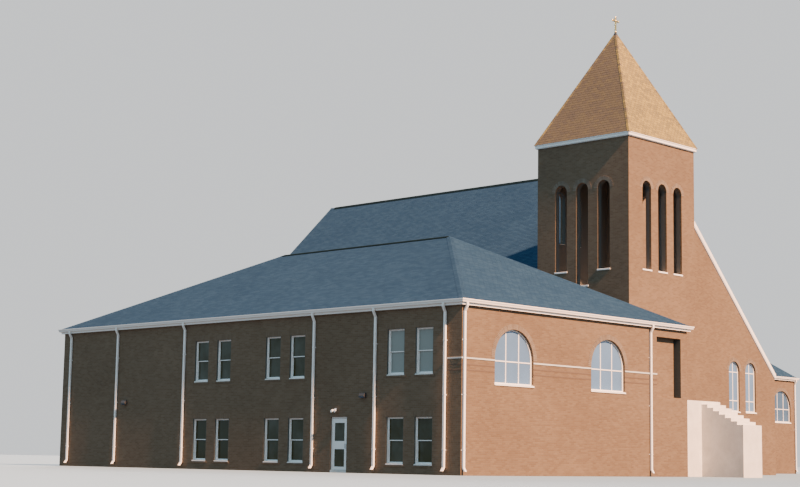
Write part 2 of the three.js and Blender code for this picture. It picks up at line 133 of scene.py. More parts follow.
def addLight(look):
    for name in ("key", "back"):
        lamp = look[name]
        data = bpy.data.lights.new(name, "SUN")
        data.energy, data.color, data.angle = lamp["strength"], lamp["color"], math.radians(lamp["angle"])
        sun = bpy.data.objects.new(name, data)
        bpy.context.scene.collection.objects.link(sun)
        sun.rotation_mode = "QUATERNION"
        sun.rotation_quaternion = Vector(lamp["travel"]).to_track_quat("-Z", "Y")

    world = bpy.data.worlds.new("studio")
    bpy.context.scene.world = world
    world.use_nodes = True
    tree = world.node_tree
    tree.nodes.clear()
    fill = {"Color": (*look["fill"], 1), "Strength": look["fillStrength"]}
    around = put(tree, "ShaderNodeBackground", fill)
    behind = put(tree, "ShaderNodeBackground", {"Color": (*look["backdrop"], 1)})
    ray = put(tree, "ShaderNodeLightPath").outputs["Is Camera Ray"]
    mixed = put(tree, "ShaderNodeMixShader", {0: ray, 1: around.outputs[0], 2: behind.outputs[0]})
    put(tree, "ShaderNodeOutputWorld", {0: mixed.outputs[0]})


def addFloor(look):
    # pale to the camera, but it throws little light back up on the walls
    half = look["floorSize"] / 2
    corners = [(-half, -half, 0), (half, -half, 0), (half, half, 0), (-half, half, 0)]
    mesh = bpy.data.meshes.new("floor")
    mesh.from_pydata(corners, [], [(0, 1, 2, 3)])
    piece = bpy.data.objects.new("floor", mesh)
    bpy.context.scene.collection.objects.link(piece)
    material, tree, shader = newMaterial("floor", roughness=0.9)
    ray = put(tree, "ShaderNodeLightPath").outputs["Is Camera Ray"]
    paint(tree, shader, blendColor(tree, ray, (*look["floorBounce"], 1), (*look["floorColor"], 1)))
    mesh.materials.append(material)


# Materials

def newMaterial(name, roughness, metallic=0.0, gloss=0.5):
    material = bpy.data.materials.new(name)
    material.use_nodes = True
    shader = material.node_tree.nodes["Principled BSDF"]
    shader.inputs["Roughness"].default_value = roughness
    shader.inputs["Metallic"].default_value = metallic
    shader.inputs["Specular IOR Level"].default_value = gloss
    return material, material.node_tree, shader


def put(tree, kind, inputs=None, **settings):
    # one node with its settings, its inputs given as values or as the sockets that feed them
    made = tree.nodes.new(kind)
    for key, value in settings.items():
        setattr(made, key, value)
    for key, value in (inputs or {}).items():
        if isinstance(value, bpy.types.NodeSocket):
            tree.links.new(value, made.inputs[key])
        else:
            made.inputs[key].default_value = value
    return made


def calc(tree, operation, *values):
    return put(tree, "ShaderNodeMath", dict(enumerate(values)), operation=operation).outputs[0]


def ramp(tree, factor, stops):
    made = put(tree, "ShaderNodeValToRGB", {"Fac": factor})
    elements = made.color_ramp.elements
    while len(elements) < len(stops):
        elements.new(0.5)
    for element, (position, color) in zip(elements, stops):
        element.position, element.color = position, (*color, 1)
    return made.outputs["Color"]


def between(tree, factor, low, high, start=0.3, end=0.7):
    # goes from one color to the other while the factor goes from start to end
    return ramp(tree, factor, ((start, low), (end, high)))


def blendColor(tree, factor, first, second, kind="MIX"):
    made = put(tree, "ShaderNodeMix", data_type="RGBA", blend_type=kind)
    for socket, value in zip((made.inputs[0], made.inputs[6], made.inputs[7]), (factor, first, second)):
        if isinstance(value, bpy.types.NodeSocket):
            tree.links.new(value, socket)
        else:
            socket.default_value = value
    return made.outputs[2]


def multiply(tree, first, second):
    return blendColor(tree, 1.0, first, second, "MULTIPLY")


def noise(tree, scale, detail, roughness=0.55):
    point = put(tree, "ShaderNodeTexCoord").outputs["Object"]
    inputs = {"Vector": point, "Scale": scale, "Detail": detail, "Roughness": roughness}
    return put(tree, "ShaderNodeTexNoise", inputs).outputs["Fac"]


def keptTone(tree):
    return put(tree, "ShaderNodeAttribute", attribute_name="tone").outputs["Fac"]


def paint(tree, shader, color):
    tree.links.new(color, shader.inputs["Base Color"])


def bump(tree, shader, height, distance, strength):
    made = put(tree, "ShaderNodeBump", {"Height": height, "Distance": distance, "Strength": strength})
    tree.links.new(made.outputs[0], shader.inputs["Normal"])


brickWork = {
    "brickLong": 213.0, "course": 67.7, "joint": 10.0,
    "dark": (0.136, 0.095, 0.060), "pale": (0.172, 0.126, 0.083), "mortar": (0.165, 0.140, 0.108),
    # the grey for the tower's inside is painted shade
    "towerInside": (0.120, 0.120, 0.112), "towerLeaf": 110,
    "turned": 0.7, "softEdge": 0.3, "grain": 0.25,
}


def towerShadeMask(tree, point):
    # gives 1 behind the outer brick leaf of the tower's walls, where the inside is painted dark as shade
    middle = (towerLow + towerHigh) / 2
    reach = (towerHigh - towerLow) / 2 - Vector((1, 1, 0)) * brickWork["towerLeaf"]
    within = []
    for i, away in enumerate(place(*middle).xy):
        distance = calc(tree, "ABSOLUTE", calc(tree, "SUBTRACT", point.outputs[i], away))
        within.append(calc(tree, "LESS_THAN", distance, reach[i] * realMillimetre))
    return calc(tree, "MULTIPLY", *within)


def brickMaterial(look):
    # courses run along each wall, whichever way it faces
    material, tree, shader = newMaterial("brick", roughness=0.88, gloss=0.25)
    coord = put(tree, "ShaderNodeTexCoord")
    point = put(tree, "ShaderNodeSeparateXYZ", {0: coord.outputs["Object"]})
    facing = put(tree, "ShaderNodeSeparateXYZ", {0: coord.outputs["Normal"]})
    side, flat = [calc(tree, "GREATER_THAN", calc(tree, "ABSOLUTE", facing.outputs[i]), look["turned"])
                  for i in (0, 2)]
    along = put(tree, "ShaderNodeMix", {0: side, 2: point.outputs[0], 3: point.outputs[1]}).outputs[0]
    upward = put(tree, "ShaderNodeMix", {0: flat, 2: point.outputs[2], 3: point.outputs[1]}).outputs[0]
    face = put(tree, "ShaderNodeCombineXYZ", {0: along, 1: upward}).outputs[0]
    sizes = {
        "Vector": face, "Scale": 1.0, "Mortar Smooth": look["softEdge"],
        "Mortar Size": look["joint"] / 2 * realMillimetre,
        "Brick Width": look["brickLong"] * realMillimetre,
        "Row Height": look["course"] * realMillimetre,
        "Color1": (*look["dark"], 1), "Color2": (*look["pale"], 1), "Mortar": (*look["mortar"], 1),
    }
    bricks = put(tree, "ShaderNodeTexBrick", sizes)
    patches = between(tree, noise(tree, scale=0.55, detail=5.0), (0.90, 0.88, 0.87), (1.06, 1.05, 1.05))
    streaks = between(tree, noise(tree, scale=3.0, detail=6.0, roughness=0.7),
                      (0.93, 0.93, 0.93), (1.05, 1.04, 1.03), end=0.75)
    color = multiply(tree, multiply(tree, bricks.outputs["Color"], patches), streaks)
    # the tower's inside behind the outer leaf is painted a dark grey as shade
    paint(tree, shader, blendColor(tree, towerShadeMask(tree, point), color, (*look["towerInside"], 1)))
    grain = calc(tree, "MULTIPLY", noise(tree, scale=160.0, detail=3.0), look["grain"])
    height = calc(tree, "SUBTRACT", grain, bricks.outputs["Fac"])
    bump(tree, shader, height, distance=0.002, strength=0.8)
    return material


def shingleMaterial(name, shades, grit):
    # shades run from the darkest tab to the lightest, chosen by the tone kept on each tab
    material, tree, shader = newMaterial(name, roughness=0.95, gloss=0.0)
    granules = noise(tree, scale=420.0, detail=2.0, roughness=0.7)
    color = ramp(tree, keptTone(tree), [(i / (len(shades) - 1), shade) for i, shade in enumerate(shades)])
    speck = between(tree, granules, (1 - grit,) * 3, (1 + grit,) * 3)
    weather = between(tree, noise(tree, scale=0.8, detail=5.0), (0.92, 0.93, 0.94), (1.06, 1.05, 1.04))
    paint(tree, shader, multiply(tree, multiply(tree, color, speck), weather))
    bump(tree, shader, granules, distance=0.0015, strength=0.6)
    return material


def paintMaterial(name, color, roughness, dirt=0.10, gloss=0.5):
    material, tree, shader = newMaterial(name, roughness, gloss=gloss)
    low = tuple(channel * (1 - dirt) for channel in color)
    stains = noise(tree, scale=2.2, detail=6.0, roughness=0.65)
    paint(tree, shader, between(tree, stains, low, color, start=0.35, end=0.65))
    bump(tree, shader, noise(tree, scale=60.0, detail=3.0), distance=0.0006, strength=0.4)
    return material


def glassMaterial(name, low, high, gloss):
    # painted reflection: the tone kept on each pane says how much mirrored sky its base colour shows
    material, tree, shader = newMaterial(name, roughness=0.06, gloss=gloss)
    drift = calc(tree, "DIVIDE", noise(tree, scale=1.6, detail=3.0), 2.0)
    paintedReflection = calc(tree, "ADD", drift, keptTone(tree))
    paint(tree, shader, between(tree, paintedReflection, low, high, start=0.15, end=1.1))
    bump(tree, shader, noise(tree, scale=1.2, detail=1.0), distance=0.004, strength=0.25)
    return material


def brickUnitMaterial(name, low, high):
    # single bricks, each with the tone kept on it
    material, tree, shader = newMaterial(name, roughness=0.88)
    color = between(tree, keptTone(tree), low, high, start=0.0, end=1.0)
    patches = between(tree, noise(tree, scale=30.0, detail=5.0), (0.88, 0.88, 0.88), (1.08, 1.07, 1.06))
    paint(tree, shader, multiply(tree, color, patches))
    bump(tree, shader, noise(tree, scale=160.0, detail=3.0), distance=0.0008, strength=0.6)
    return material


def concreteMaterial():
    material, tree, shader = newMaterial("concrete", roughness=0.9)
    stains = noise(tree, scale=3.0, detail=8.0, roughness=0.7)
    paint(tree, shader, between(tree, stains, (0.56, 0.55, 0.52), (0.74, 0.73, 0.69)))
    bump(tree, shader, noise(tree, scale=90.0, detail=6.0), distance=0.0015, strength=0.5)
    return material


def metalMaterial(name, color, roughness, dirt=0.2):
    material, tree, shader = newMaterial(name, roughness, metallic=0.9)
    low = tuple(channel * (1 - dirt) for channel in color)
    stains = noise(tree, scale=9.0, detail=5.0)
    paint(tree, shader, between(tree, stains, low, color, start=0.35, end=0.65))
    return material


materials = {
    "brick": brickMaterial(brickWork),
    "slate": shingleMaterial(
        "slate_shingle", ((0.021, 0.050, 0.094), (0.024, 0.055, 0.101), (0.028, 0.062, 0.110)), grit=0.13),
    "tan": shingleMaterial(
        "tan_shingle", ((0.108, 0.096, 0.078), (0.170, 0.145, 0.078), (0.275, 0.222, 0.086)), grit=0.14),
    "white": paintMaterial("white_trim", (0.89, 0.89, 0.87), roughness=0.45, dirt=0.05),
    # both glasses show mirrored sky as a painted reflection in their base colour
    "glass": glassMaterial("window_glass", (0.044, 0.036, 0.011), (0.27, 0.29, 0.27), gloss=0.22),
    "pale glass": glassMaterial("window_glass_pale", (0.035, 0.066, 0.115), (0.118, 0.222, 0.40), gloss=0.5),
    "bronze": paintMaterial("dark_bronze", (0.035, 0.028, 0.022), roughness=0.35, dirt=0.3),
    "concrete": concreteMaterial(),
    "gilt": metalMaterial("gilt", (0.78, 0.60, 0.26), roughness=0.32),
    "pale brick": brickUnitMaterial("pale_brick", (0.147, 0.113, 0.082), (0.190, 0.160, 0.122)),
    "brick unit": brickUnitMaterial("brick_unit", (0.133, 0.092, 0.058), (0.167, 0.122, 0.080)),
    "dark brick": brickUnitMaterial("dark_brick", (0.103, 0.070, 0.048), (0.123, 0.086, 0.062)),
    # a dark grey brick that is painted shade, for reveals and a slot that should look shaded
    "painted shade brick": brickUnitMaterial("smoked_brick", (0.076, 0.088, 0.080), (0.092, 0.105, 0.096)),
    "pale stone": paintMaterial("pale_stone", (0.50, 0.54, 0.54), roughness=0.8),
    "dark metal": paintMaterial("dark_metal", (0.045, 0.047, 0.05), roughness=0.5, dirt=0.3),
    "vent": paintMaterial("vent_plastic", (0.008, 0.017, 0.022), roughness=0.9, dirt=0.2, gloss=0.0),
    "satin metal": metalMaterial("satin_metal", (0.55, 0.56, 0.57), roughness=0.3),
}
slots = {
    "brick": "brick", "slate": "slate_shingle", "tan": "tan_shingle", "white": "white_trim",
    "glass": "window_glass", "pale glass": "window_glass", "bronze": "dark_bronze", "concrete": "concrete",
    "gilt": "gilt", "pale brick": "brick", "brick unit": "brick", "dark brick": "brick",
    "painted shade brick": "brick", "pale stone": "concrete", "dark metal": "dark_bronze",
    "vent": "dark_bronze", "satin metal": "dark_bronze",
}


def dressNodes():
    # each CAD node takes the first finish listed for its slot
    bySlot = {slot: finish for finish, slot in reversed(list(slots.items()))}
    for row in frame["record"]["subparts"]:
        finish = materials[bySlot[row["material_slot"]]]
        mesh = frame["nodes"][row["node"]].data
        mesh.materials.clear()
        mesh.materials.append(finish)


# Shapes: closed solids gathered in one mesh, in real millimetres

boxFaces = [(0, 1, 3, 2), (4, 6, 7, 5), (0, 4, 5, 1), (2, 3, 7, 6), (0, 2, 6, 4), (1, 5, 7, 3)]


class Shape:
    def __init__(self):
        self.points = []
        self.faces = []
        self.tones = []
        self.tone = 0.0

    def solid(self, points, faces):
        start = len(self.points)
        self.points.extend(points)
        self.faces.extend([[start + i for i in face] for face in faces])
        self.tones.extend([self.tone] * len(points))

    def box(self, low, high):
        (x0, x1), (y0, y1), (z0, z1) = [sorted(pair) for pair in zip(low, high)]
        self.solid([(x, y, z) for x in (x0, x1) for y in (y0, y1) for z in (z0, z1)], boxFaces)

    def loft(self, rings, closed=False):
        # rings of as many points each, joined in order and capped unless they close on themselves
        count, size = len(rings), len(rings[0])
        faces = []
        for i in range(count if closed else count - 1):
            near, far = i * size, (i + 1) % count * size
            for j in range(size):
                k = (j + 1) % size
                faces.append((near + j, near + k, far + k, far + j))
        if not closed:
            faces.append(tuple(reversed(range(size))))
            faces.append(tuple((count - 1) * size + j for j in range(size)))
        self.solid([point for ring in rings for point in ring], faces)


def facingOut(mesh):
    work = bmesh.new()
    work.from_mesh(mesh)
    bmesh.ops.recalc_face_normals(work, faces=work.faces)
    work.to_mesh(mesh)
    work.free()


def dress(name, shape, finish, body="building", bevel=0.0, smooth=False):
    mesh = bpy.data.meshes.new(name)
    mesh.from_pydata([place(*point) for point in shape.points], [], shape.faces)
    attribute = mesh.attributes.new("tone", "FLOAT", "POINT")
    attribute.data.foreach_set("value", shape.tones)
    facingOut(mesh)
    return settle(name, mesh, finish, body, bevel, smooth)


def settle(name, mesh, finish, body="building", bevel=0.0, smooth=False):
    mesh.name = name
    mesh.materials.clear()
    mesh.materials.append(materials[finish])
    piece = bpy.data.objects.new(name, mesh)
    bpy.context.scene.collection.objects.link(piece)
    if bevel:
        edge = piece.modifiers.new("soft edges", "BEVEL")
        edge.width = bevel * realMillimetre
        edge.segments = 1
        edge.limit_method = "ANGLE"
    if smooth:
        mesh.shade_smooth()
    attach(piece, body)
    return piece


# A wall is described by where a point at (along, depth, up) lies: depth runs into the wall from its face.

def fromFront(face):
    return lambda along, depth, up: (along, face + depth, up)


def fromRear(face):
    return lambda along, depth, up: (along, face - depth, up)


def fromLeft(face):
    return lambda along, depth, up: (face + depth, along, up)


def fromRight(face):
    return lambda along, depth, up: (face - depth, along, up)


walls = {
    "wing left": fromLeft(wingLeft),
    "wing front": fromFront(wingFront), "wing rear": fromRear(wingBack),
    "nave front": fromFront(naveLow.y), "nave rear": fromRear(naveHigh.y),
    "hall front": fromFront(hallLow.y), "hall rear": fromRear(hallHigh.y),
    "hall right": fromRight(hallHigh.x),
    "tower front": fromFront(towerLow.y), "tower rear": fromRear(towerHigh.y),
    "tower left": fromLeft(towerLow.x), "tower right": fromRight(towerHigh.x),
}


def wallBox(shape, wall, along, depth, up):
    at = walls[wall]
    shape.box(at(along[0], depth[0], up[0]), at(along[1], depth[1], up[1]))


def wallPrism(shape, wall, outline, depth):
    at = walls[wall]
    shape.loft([[at(along, d, up) for along, up in outline] for d in depth])


# Sash windows

sash = {
    "wide": 900, "pairSpacing": 1473, "upper": (3722, 5453), "lower": (374, 2134),
    "frame": 36, "frameDepth": (98, 190), "outerSash": (113, 145), "innerSash": (145, 177),
    "stile": 32, "meeting": 34, "bottomRail": 46, "pane": 8, "rebate": 4,
    "sillHigh": 34, "sillProud": 16, "sillEar": 4, "sillDrop": 4, "sillStep": 12,
    # the outer lining depth is painted shade, the inner one white
    "lining": 14, "liningShade": (3, 60), "liningWhite": (60, 98),
}
storeys = ("upper", "lower")
sashWalls = {  # the middle of each pair of windows
    "wing left": (2610, 9600, 14200), "wing rear": (3900, 10600),
    "hall right": (20400, 25360), "hall rear": (39170, 45060),
}
# the panes' tones set how much painted sky reflection their base colour shows
usualReflection = 0.14
paneReflections = {  # how much sky each pair of windows mirrors, where the photo shows it
    ("wing left", "upper"): (1.0, -0.02, 0.02),
    ("wing left", "lower"): (-0.04, -0.02, -0.15),
}


def ringOf(shape, wall, left, right, bottom, top, edge, depth, lowEdge=None):
    # four bars round a rectangle
    low = lowEdge or edge
    wallBox(shape, wall, (left, right), depth, (bottom, bottom + low))
    wallBox(shape, wall, (left, right), depth, (top - edge, top))
    wallBox(shape, wall, (left, left + edge), depth, (bottom + low, top - edge))
    wallBox(shape, wall, (right - edge, right), depth, (bottom + low, top - edge))


def addSill(shape, wall, left, right, bottom, frameFace, look):
    # the sill in front of the wall, and the step behind it up to the frame
    ear = look["sillEar"]
    wallBox(shape, wall, (left - ear, right + ear), (-look["sillProud"], 0),
            (bottom - look["sillHigh"], bottom - look["sillDrop"]))
    wallBox(shape, wall, (left, right), (0, frameFace), (bottom, bottom + look["sillStep"]))


def addSashWindow(frames, linings, panes, wall, centre, storey, look):
    bottom, top = look[storey]
    left, right = centre - look["wide"] / 2, centre + look["wide"] / 2
    edge, stile, rebate = look["frame"], look["stile"], look["rebate"]
    ringOf(frames, wall, left, right, bottom, top, edge, look["frameDepth"])
    inLeft, inRight, inBottom, inTop = left + edge, right - edge, bottom + edge, top - edge
    middle = (bottom + top) / 2 + look["meeting"] / 2
    for low, high, depth, rail in (
        (middle - look["meeting"], inTop, look["outerSash"], look["meeting"]),
        (inBottom, middle, look["innerSash"], look["bottomRail"]),
    ):
        ringOf(frames, wall, inLeft, inRight, low, high, stile, depth, rail)
        glassDepth = sum(depth) / 2
        wallBox(panes, wall, (inLeft + stile - rebate, inRight - stile + rebate),
                (glassDepth - look["pane"] / 2, glassDepth + look["pane"] / 2),
                (low + rail - rebate, high - stile + rebate))
    addSill(frames, wall, left, right, bottom, look["frameDepth"][0], look)
    # the outer part of each reveal is lined in painted shade, the inner part in white
    lining, foot = look["lining"], bottom + look["sillStep"]
    for shape, depth in ((linings, look["liningShade"]), (frames, look["liningWhite"])):
        wallBox(shape, wall, (left, left + lining), depth, (foot, top))
        wallBox(shape, wall, (right - lining, right), depth, (foot, top))
        wallBox(shape, wall, (left + lining, right - lining), depth, (top - lining, top))


def addSashWindows(look):
    for wall, pairs in sashWalls.items():
        frames, linings, panes = Shape(), Shape(), Shape()
        for storey in storeys:
            tones = paneReflections.get((wall, storey), [usualReflection] * len(pairs))
            for pair, tone in zip(pairs, tones):
                panes.tone = tone
                for side in (-1, 1):
                    centre = pair + side * look["pairSpacing"] / 2
                    addSashWindow(frames, linings, panes, wall, centre, storey, look)
        name = wall.replace(" ", "_")
        dress(f"{name}_sash_frames", frames, "white", bevel=4)
        dress(f"{name}_sash_linings", linings, "painted shade brick")
        glazed = dress(f"{name}_sash_panes", panes, "glass")
        start = f"{name}_glass"
        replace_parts(glazed, *[node for node in frame["nodes"] if node.startswith(start)])
        print("sash windows on", wall)


# Arched windows

arched = {
    "low": {"wide": 2260, "sill": 3390, "top": 5470, "mullions": (-377, 377), "bars": (4250,)},
    "tall": {"wide": 1040, "sill": 3390, "top": 6100, "mullions": (0,), "bars": (3980, 5520)},
    "frame": 58, "depth": (95, 185), "bar": 46, "mullionDepth": (105, 160), "barDepth": (107, 158),
    "pane": (124, 134), "rebate": 6, "steps": 28, "reflectionStep": 0.06,
    "sillHigh": 62, "sillProud": 34, "sillEar": 30, "sillDrop": 4, "sillStep": 14,
}
# the last column is how much painted sky reflection the panes get
archedWalls = {  # which kind, the nodes it replaces, the windows' middles and how much sky they mirror
    "wing front": ("low", "wing_front_window", (2975, 8872), 0.55),
    "hall front": ("low", "hall_front_window", (39170, 45060, 50950), 0.12),
    "nave front": ("tall", "nave_front_window", (31410, 33050), 0.65),
    "nave rear": ("tall", "nave_rear_window", (19200, 24730, 30260), 0.35),
}


def archOutline(centre, opening, inset, steps):
    half = opening["wide"] / 2 - inset
    spring = opening["top"] - opening["wide"] / 2
    points = [(centre - half, opening["sill"] + inset), (centre + half, opening["sill"] + inset)]
    for step in range(steps + 1):
        angle = math.pi * step / steps
        points.append((centre + half * math.cos(angle), spring + half * math.sin(angle)))
    return points


def addArchedWindow(frames, panes, wall, centre, opening, look):
    at = walls[wall]
    outer = archOutline(centre, opening, 0, look["steps"])
    inner = archOutline(centre, opening, look["frame"], look["steps"])
    near, far = look["depth"]
    rings = []
    for (outAlong, outUp), (inAlong, inUp) in zip(outer, inner):
        rings.append([at(outAlong, near, outUp), at(inAlong, near, inUp),
                      at(inAlong, far, inUp), at(outAlong, far, outUp)])
    frames.loft(rings, closed=True)
    bar, inset = look["bar"] / 2, look["frame"] - look["rebate"]
    spring, radius = opening["top"] - opening["wide"] / 2, opening["wide"] / 2 - inset
    for offset in opening["mullions"]:
        reach = spring + math.sqrt(radius ** 2 - (abs(offset) + bar) ** 2)
        wallBox(frames, wall, (centre + offset - bar, centre + offset + bar), look["mullionDepth"],
                (opening["sill"] + inset, reach))
    for height in opening["bars"]:
        half = math.sqrt(radius ** 2 - max(height - spring, 0) ** 2)
        wallBox(frames, wall, (centre - half, centre + half), look["barDepth"], (height - bar, height + bar))
    wallPrism(panes, wall, archOutline(centre, opening, inset, look["steps"]), look["pane"])
    half = opening["wide"] / 2
    addSill(frames, wall, centre - half, centre + half, opening["sill"], near, look)


def addArchedWindows(look):
    for wall, (kind, node, centres, tone) in archedWalls.items():
        frames, panes = Shape(), Shape()
        for i, centre in enumerate(centres):
            panes.tone = tone + look["reflectionStep"] * (i % 2)
            addArchedWindow(frames, panes, wall, centre, look[kind], look)
        dress(f"{node}_frames", frames, "white", bevel=4)
        glazed = dress(f"{node}_panes", panes, "pale glass")
        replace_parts(glazed, *[f"{node}_{i + 1}" for i in range(len(centres))])
        print("arched windows on", wall)


# Roof shingles

def newTree(name, inputs):
    tree = bpy.data.node_groups.new(name, "GeometryNodeTree")
    for label, kind in inputs:
        tree.interface.new_socket(label, in_out="INPUT", socket_type="NodeSocket" + kind)
    tree.interface.new_socket("Geometry", in_out="OUTPUT", socket_type="NodeSocketGeometry")
    return tree, put(tree, "NodeGroupInput").outputs


def closeTree(tree, geometry, material):
    real = put(tree, "GeometryNodeRealizeInstances", {"Geometry": geometry}).outputs[0]
    painted = put(tree, "GeometryNodeSetMaterial", {"Geometry": real, "Material": material}).outputs[0]
    put(tree, "NodeGroupOutput", {0: painted})


def grow(tree, values):
    # runs a node tree once and gives back its plain mesh
    holder = bpy.data.objects.new(tree.name, bpy.data.meshes.new(tree.name))
    bpy.context.scene.collection.objects.link(holder)
    modifier = holder.modifiers.new(tree.name, "NODES")
    modifier.node_group = tree
    sockets = {item.name: item.identifier for item in tree.interface.items_tree if item.in_out == "INPUT"}
    for label, value in values.items():
        modifier[sockets[label]] = value
    bpy.context.view_layer.update()
    seen = holder.evaluated_get(bpy.context.evaluated_depsgraph_get())
    mesh = bpy.data.meshes.new_from_object(seen)
    bpy.data.objects.remove(holder)
    return mesh


def toned(tree, laid, low, high, seed):
    # keeps a random tone on each laid piece, which its material reads
    chance = put(tree, "FunctionNodeRandomValue", {2: low, 3: high, "Seed": seed}, data_type="FLOAT")
    inputs = {"Geometry": laid, "Name": "tone", "Value": chance.outputs[1]}
    kept = put(tree, "GeometryNodeStoreNamedAttribute", inputs, data_type="FLOAT", domain="INSTANCE")
    return kept.outputs[0]


def layOn(tree, points, piece, turn=None):
    inputs = {"Points": points, "Instance": piece}
    if turn is not None:
        inputs["Rotation"] = turn
    return put(tree, "GeometryNodeInstanceOnPoints", inputs).outputs[0]


shingle = {
    "exposure": 127, "tab": 305, "lap": 30, "butt": 8, "gap": 6,
    "stagger": 0.37, "seed": 4, "tones": (0.0, 1.0),
}
towerShingle = {**shingle, "exposure": 140, "tab": 250, "butt": 5, "gap": 14, "stagger": 0.5}
# painted light and shade: the sunlit faces of the tower's roof take lighter tabs, the shaded faces darker
# ones
sunAndShadeTones = {  # lightest where the tower's roof faces the sun
    "tower_front": (0.5, 1.0), "tower_right": (0.5, 1.0), "tower_rear": (0.0, 0.2), "tower_left": (0.0, 0.2),
}


def shingleTree():
    # tabs in staggered rows up a slope, trimmed to its leaning ends and its top
    sizes = ("Eave", "Slope", "Start", "Reach", "Left Lean", "Right Lean", "Exposure", "Tab", "Lap", "Butt",
             "Gap", "Stagger", "Darkest", "Lightest")
    inputs = [(label, "Float") for label in sizes] + [("Seed", "Int"), ("Material", "Material")]
    tree, given = newTree("shingled slope", inputs)

    def sums(operation, *values):
        return calc(tree, operation, *values)

    rows = sums("CEIL", sums("DIVIDE", given["Slope"], given["Exposure"]))
    columns = sums("ADD", sums("CEIL", sums("DIVIDE", given["Reach"], given["Tab"])), 2.0)
    points = put(tree, "GeometryNodePoints", {"Count": sums("MULTIPLY", rows, columns)}).outputs[0]
    index = put(tree, "GeometryNodeInputIndex").outputs[0]
    row = sums("FLOOR", sums("DIVIDE", sums("ADD", index, 0.5), columns))
    column = sums("SUBTRACT", index, sums("MULTIPLY", row, columns))
    shift = sums("FRACT", sums("MULTIPLY", row, given["Stagger"]))
    across = sums("MULTIPLY", sums("SUBTRACT", sums("ADD", column, shift), 0.5), given["Tab"])
    across = sums("ADD", across, given["Start"])
    length = sums("ADD", given["Exposure"], given["Lap"])
    halfLong, halfTab = sums("DIVIDE", length, 2.0), sums("DIVIDE", given["Tab"], 2.0)
    middle = sums("ADD", sums("MULTIPLY", row, given["Exposure"]), halfLong)
    tilt = sums("ARCSINE", sums("DIVIDE", given["Butt"], given["Exposure"]))
    lift = sums("ADD", sums("MULTIPLY", halfLong, sums("SINE", tilt)), sums("DIVIDE", given["Butt"], 2.0))
    spot = put(tree, "ShaderNodeCombineXYZ", {0: across, 1: middle, 2: lift}).outputs[0]
    points = put(tree, "GeometryNodeSetPosition", {"Geometry": points, "Position": spot}).outputs[0]

    # tabs wholly past the slope's ends go
    at = put(tree, "ShaderNodeSeparateXYZ", {0: put(tree, "GeometryNodeInputPosition").outputs[0]}).outputs
    ends = sums("SUBTRACT", at[1], halfLong), sums("ADD", at[1], halfLong)
    leftEdge = sums("MINIMUM", *[sums("MULTIPLY", given["Left Lean"], end) for end in ends])
    inward = sums("MINIMUM", *[sums("MULTIPLY", given["Right Lean"], end) for end in ends])
    rightEdge = sums("SUBTRACT", given["Eave"], inward)
    outLeft = sums("LESS_THAN", sums("ADD", at[0], halfTab), leftEdge)
    outRight = sums("GREATER_THAN", sums("SUBTRACT", at[0], halfTab), rightEdge)
    outside = {"Geometry": points, "Selection": sums("ADD", outLeft, outRight)}
    points = put(tree, "GeometryNodeDeleteGeometry", outside).outputs[0]

    wide = sums("SUBTRACT", given["Tab"], given["Gap"])
    size = put(tree, "ShaderNodeCombineXYZ", {0: wide, 1: length, 2: given["Butt"]}).outputs[0]
    tab = put(tree, "GeometryNodeMeshCube", {"Size": size}).outputs[0]
    turn = put(tree, "ShaderNodeCombineXYZ", {0: sums("MULTIPLY", tilt, -1.0)}).outputs[0]
    laid = toned(tree, layOn(tree, points, tab, turn), given["Darkest"], given["Lightest"], given["Seed"])
    real = put(tree, "GeometryNodeRealizeInstances", {"Geometry": laid}).outputs[0]

    # what still stands over an end is pushed back to it
    edge = put(tree, "ShaderNodeSeparateXYZ", {0: put(tree, "GeometryNodeInputPosition").outputs[0]}).outputs
    top = sums("MINIMUM", edge[1], given["Slope"])
    least = sums("MULTIPLY", given["Left Lean"], top)
    most = sums("SUBTRACT", given["Eave"], sums("MULTIPLY", given["Right Lean"], top))
    held = sums("MAXIMUM", sums("MINIMUM", edge[0], most), least)
    trimmed = put(tree, "ShaderNodeCombineXYZ", {0: held, 1: top, 2: edge[2]}).outputs[0]
    real = put(tree, "GeometryNodeSetPosition", {"Geometry": real, "Position": trimmed}).outputs[0]
    closeTree(tree, real, given["Material"])
    return tree


def addShingles(tree, name, finish, eaveLeft, eaveRight, topRight, topLeft, look):
    eaveLeft, eaveRight, topRight, topLeft = [place(*p) for p in (eaveLeft, eaveRight, topRight, topLeft)]
    along = (eaveRight - eaveLeft).normalized()
    rise = (topLeft - eaveLeft) - along * (topLeft - eaveLeft).dot(along)
    slope = rise.length
    up = rise.normalized()
    eave = (eaveRight - eaveLeft).length
    leftLean = (topLeft - eaveLeft).dot(along) / slope
    rightLean = (eaveRight - topRight).dot(along) / slope
    start = min(0, leftLean * slope)
    reach = eave - min(0, rightLean * slope) - start
    values = {"Eave": eave, "Slope": slope, "Start": start, "Reach": reach,
              "Left Lean": leftLean, "Right Lean": rightLean, "Stagger": look["stagger"],
              "Darkest": look["tones"][0], "Lightest": look["tones"][1],
              "Seed": look["seed"], "Material": materials[finish]}
    for label in ("Exposure", "Tab", "Lap", "Butt", "Gap"):
        values[label] = look[label.lower()] * realMillimetre
    mesh = grow(tree, values)
    mesh.transform(standing(eaveLeft, along, up, along.cross(up)))
    settle(name, mesh, finish)
    print(name, len(mesh.polygons) * 2, "triangles")


def cornersOf(left, right, front, back, level):
    return [(x, y, level) for x, y in ((left, front), (right, front), (right, back), (left, back))]


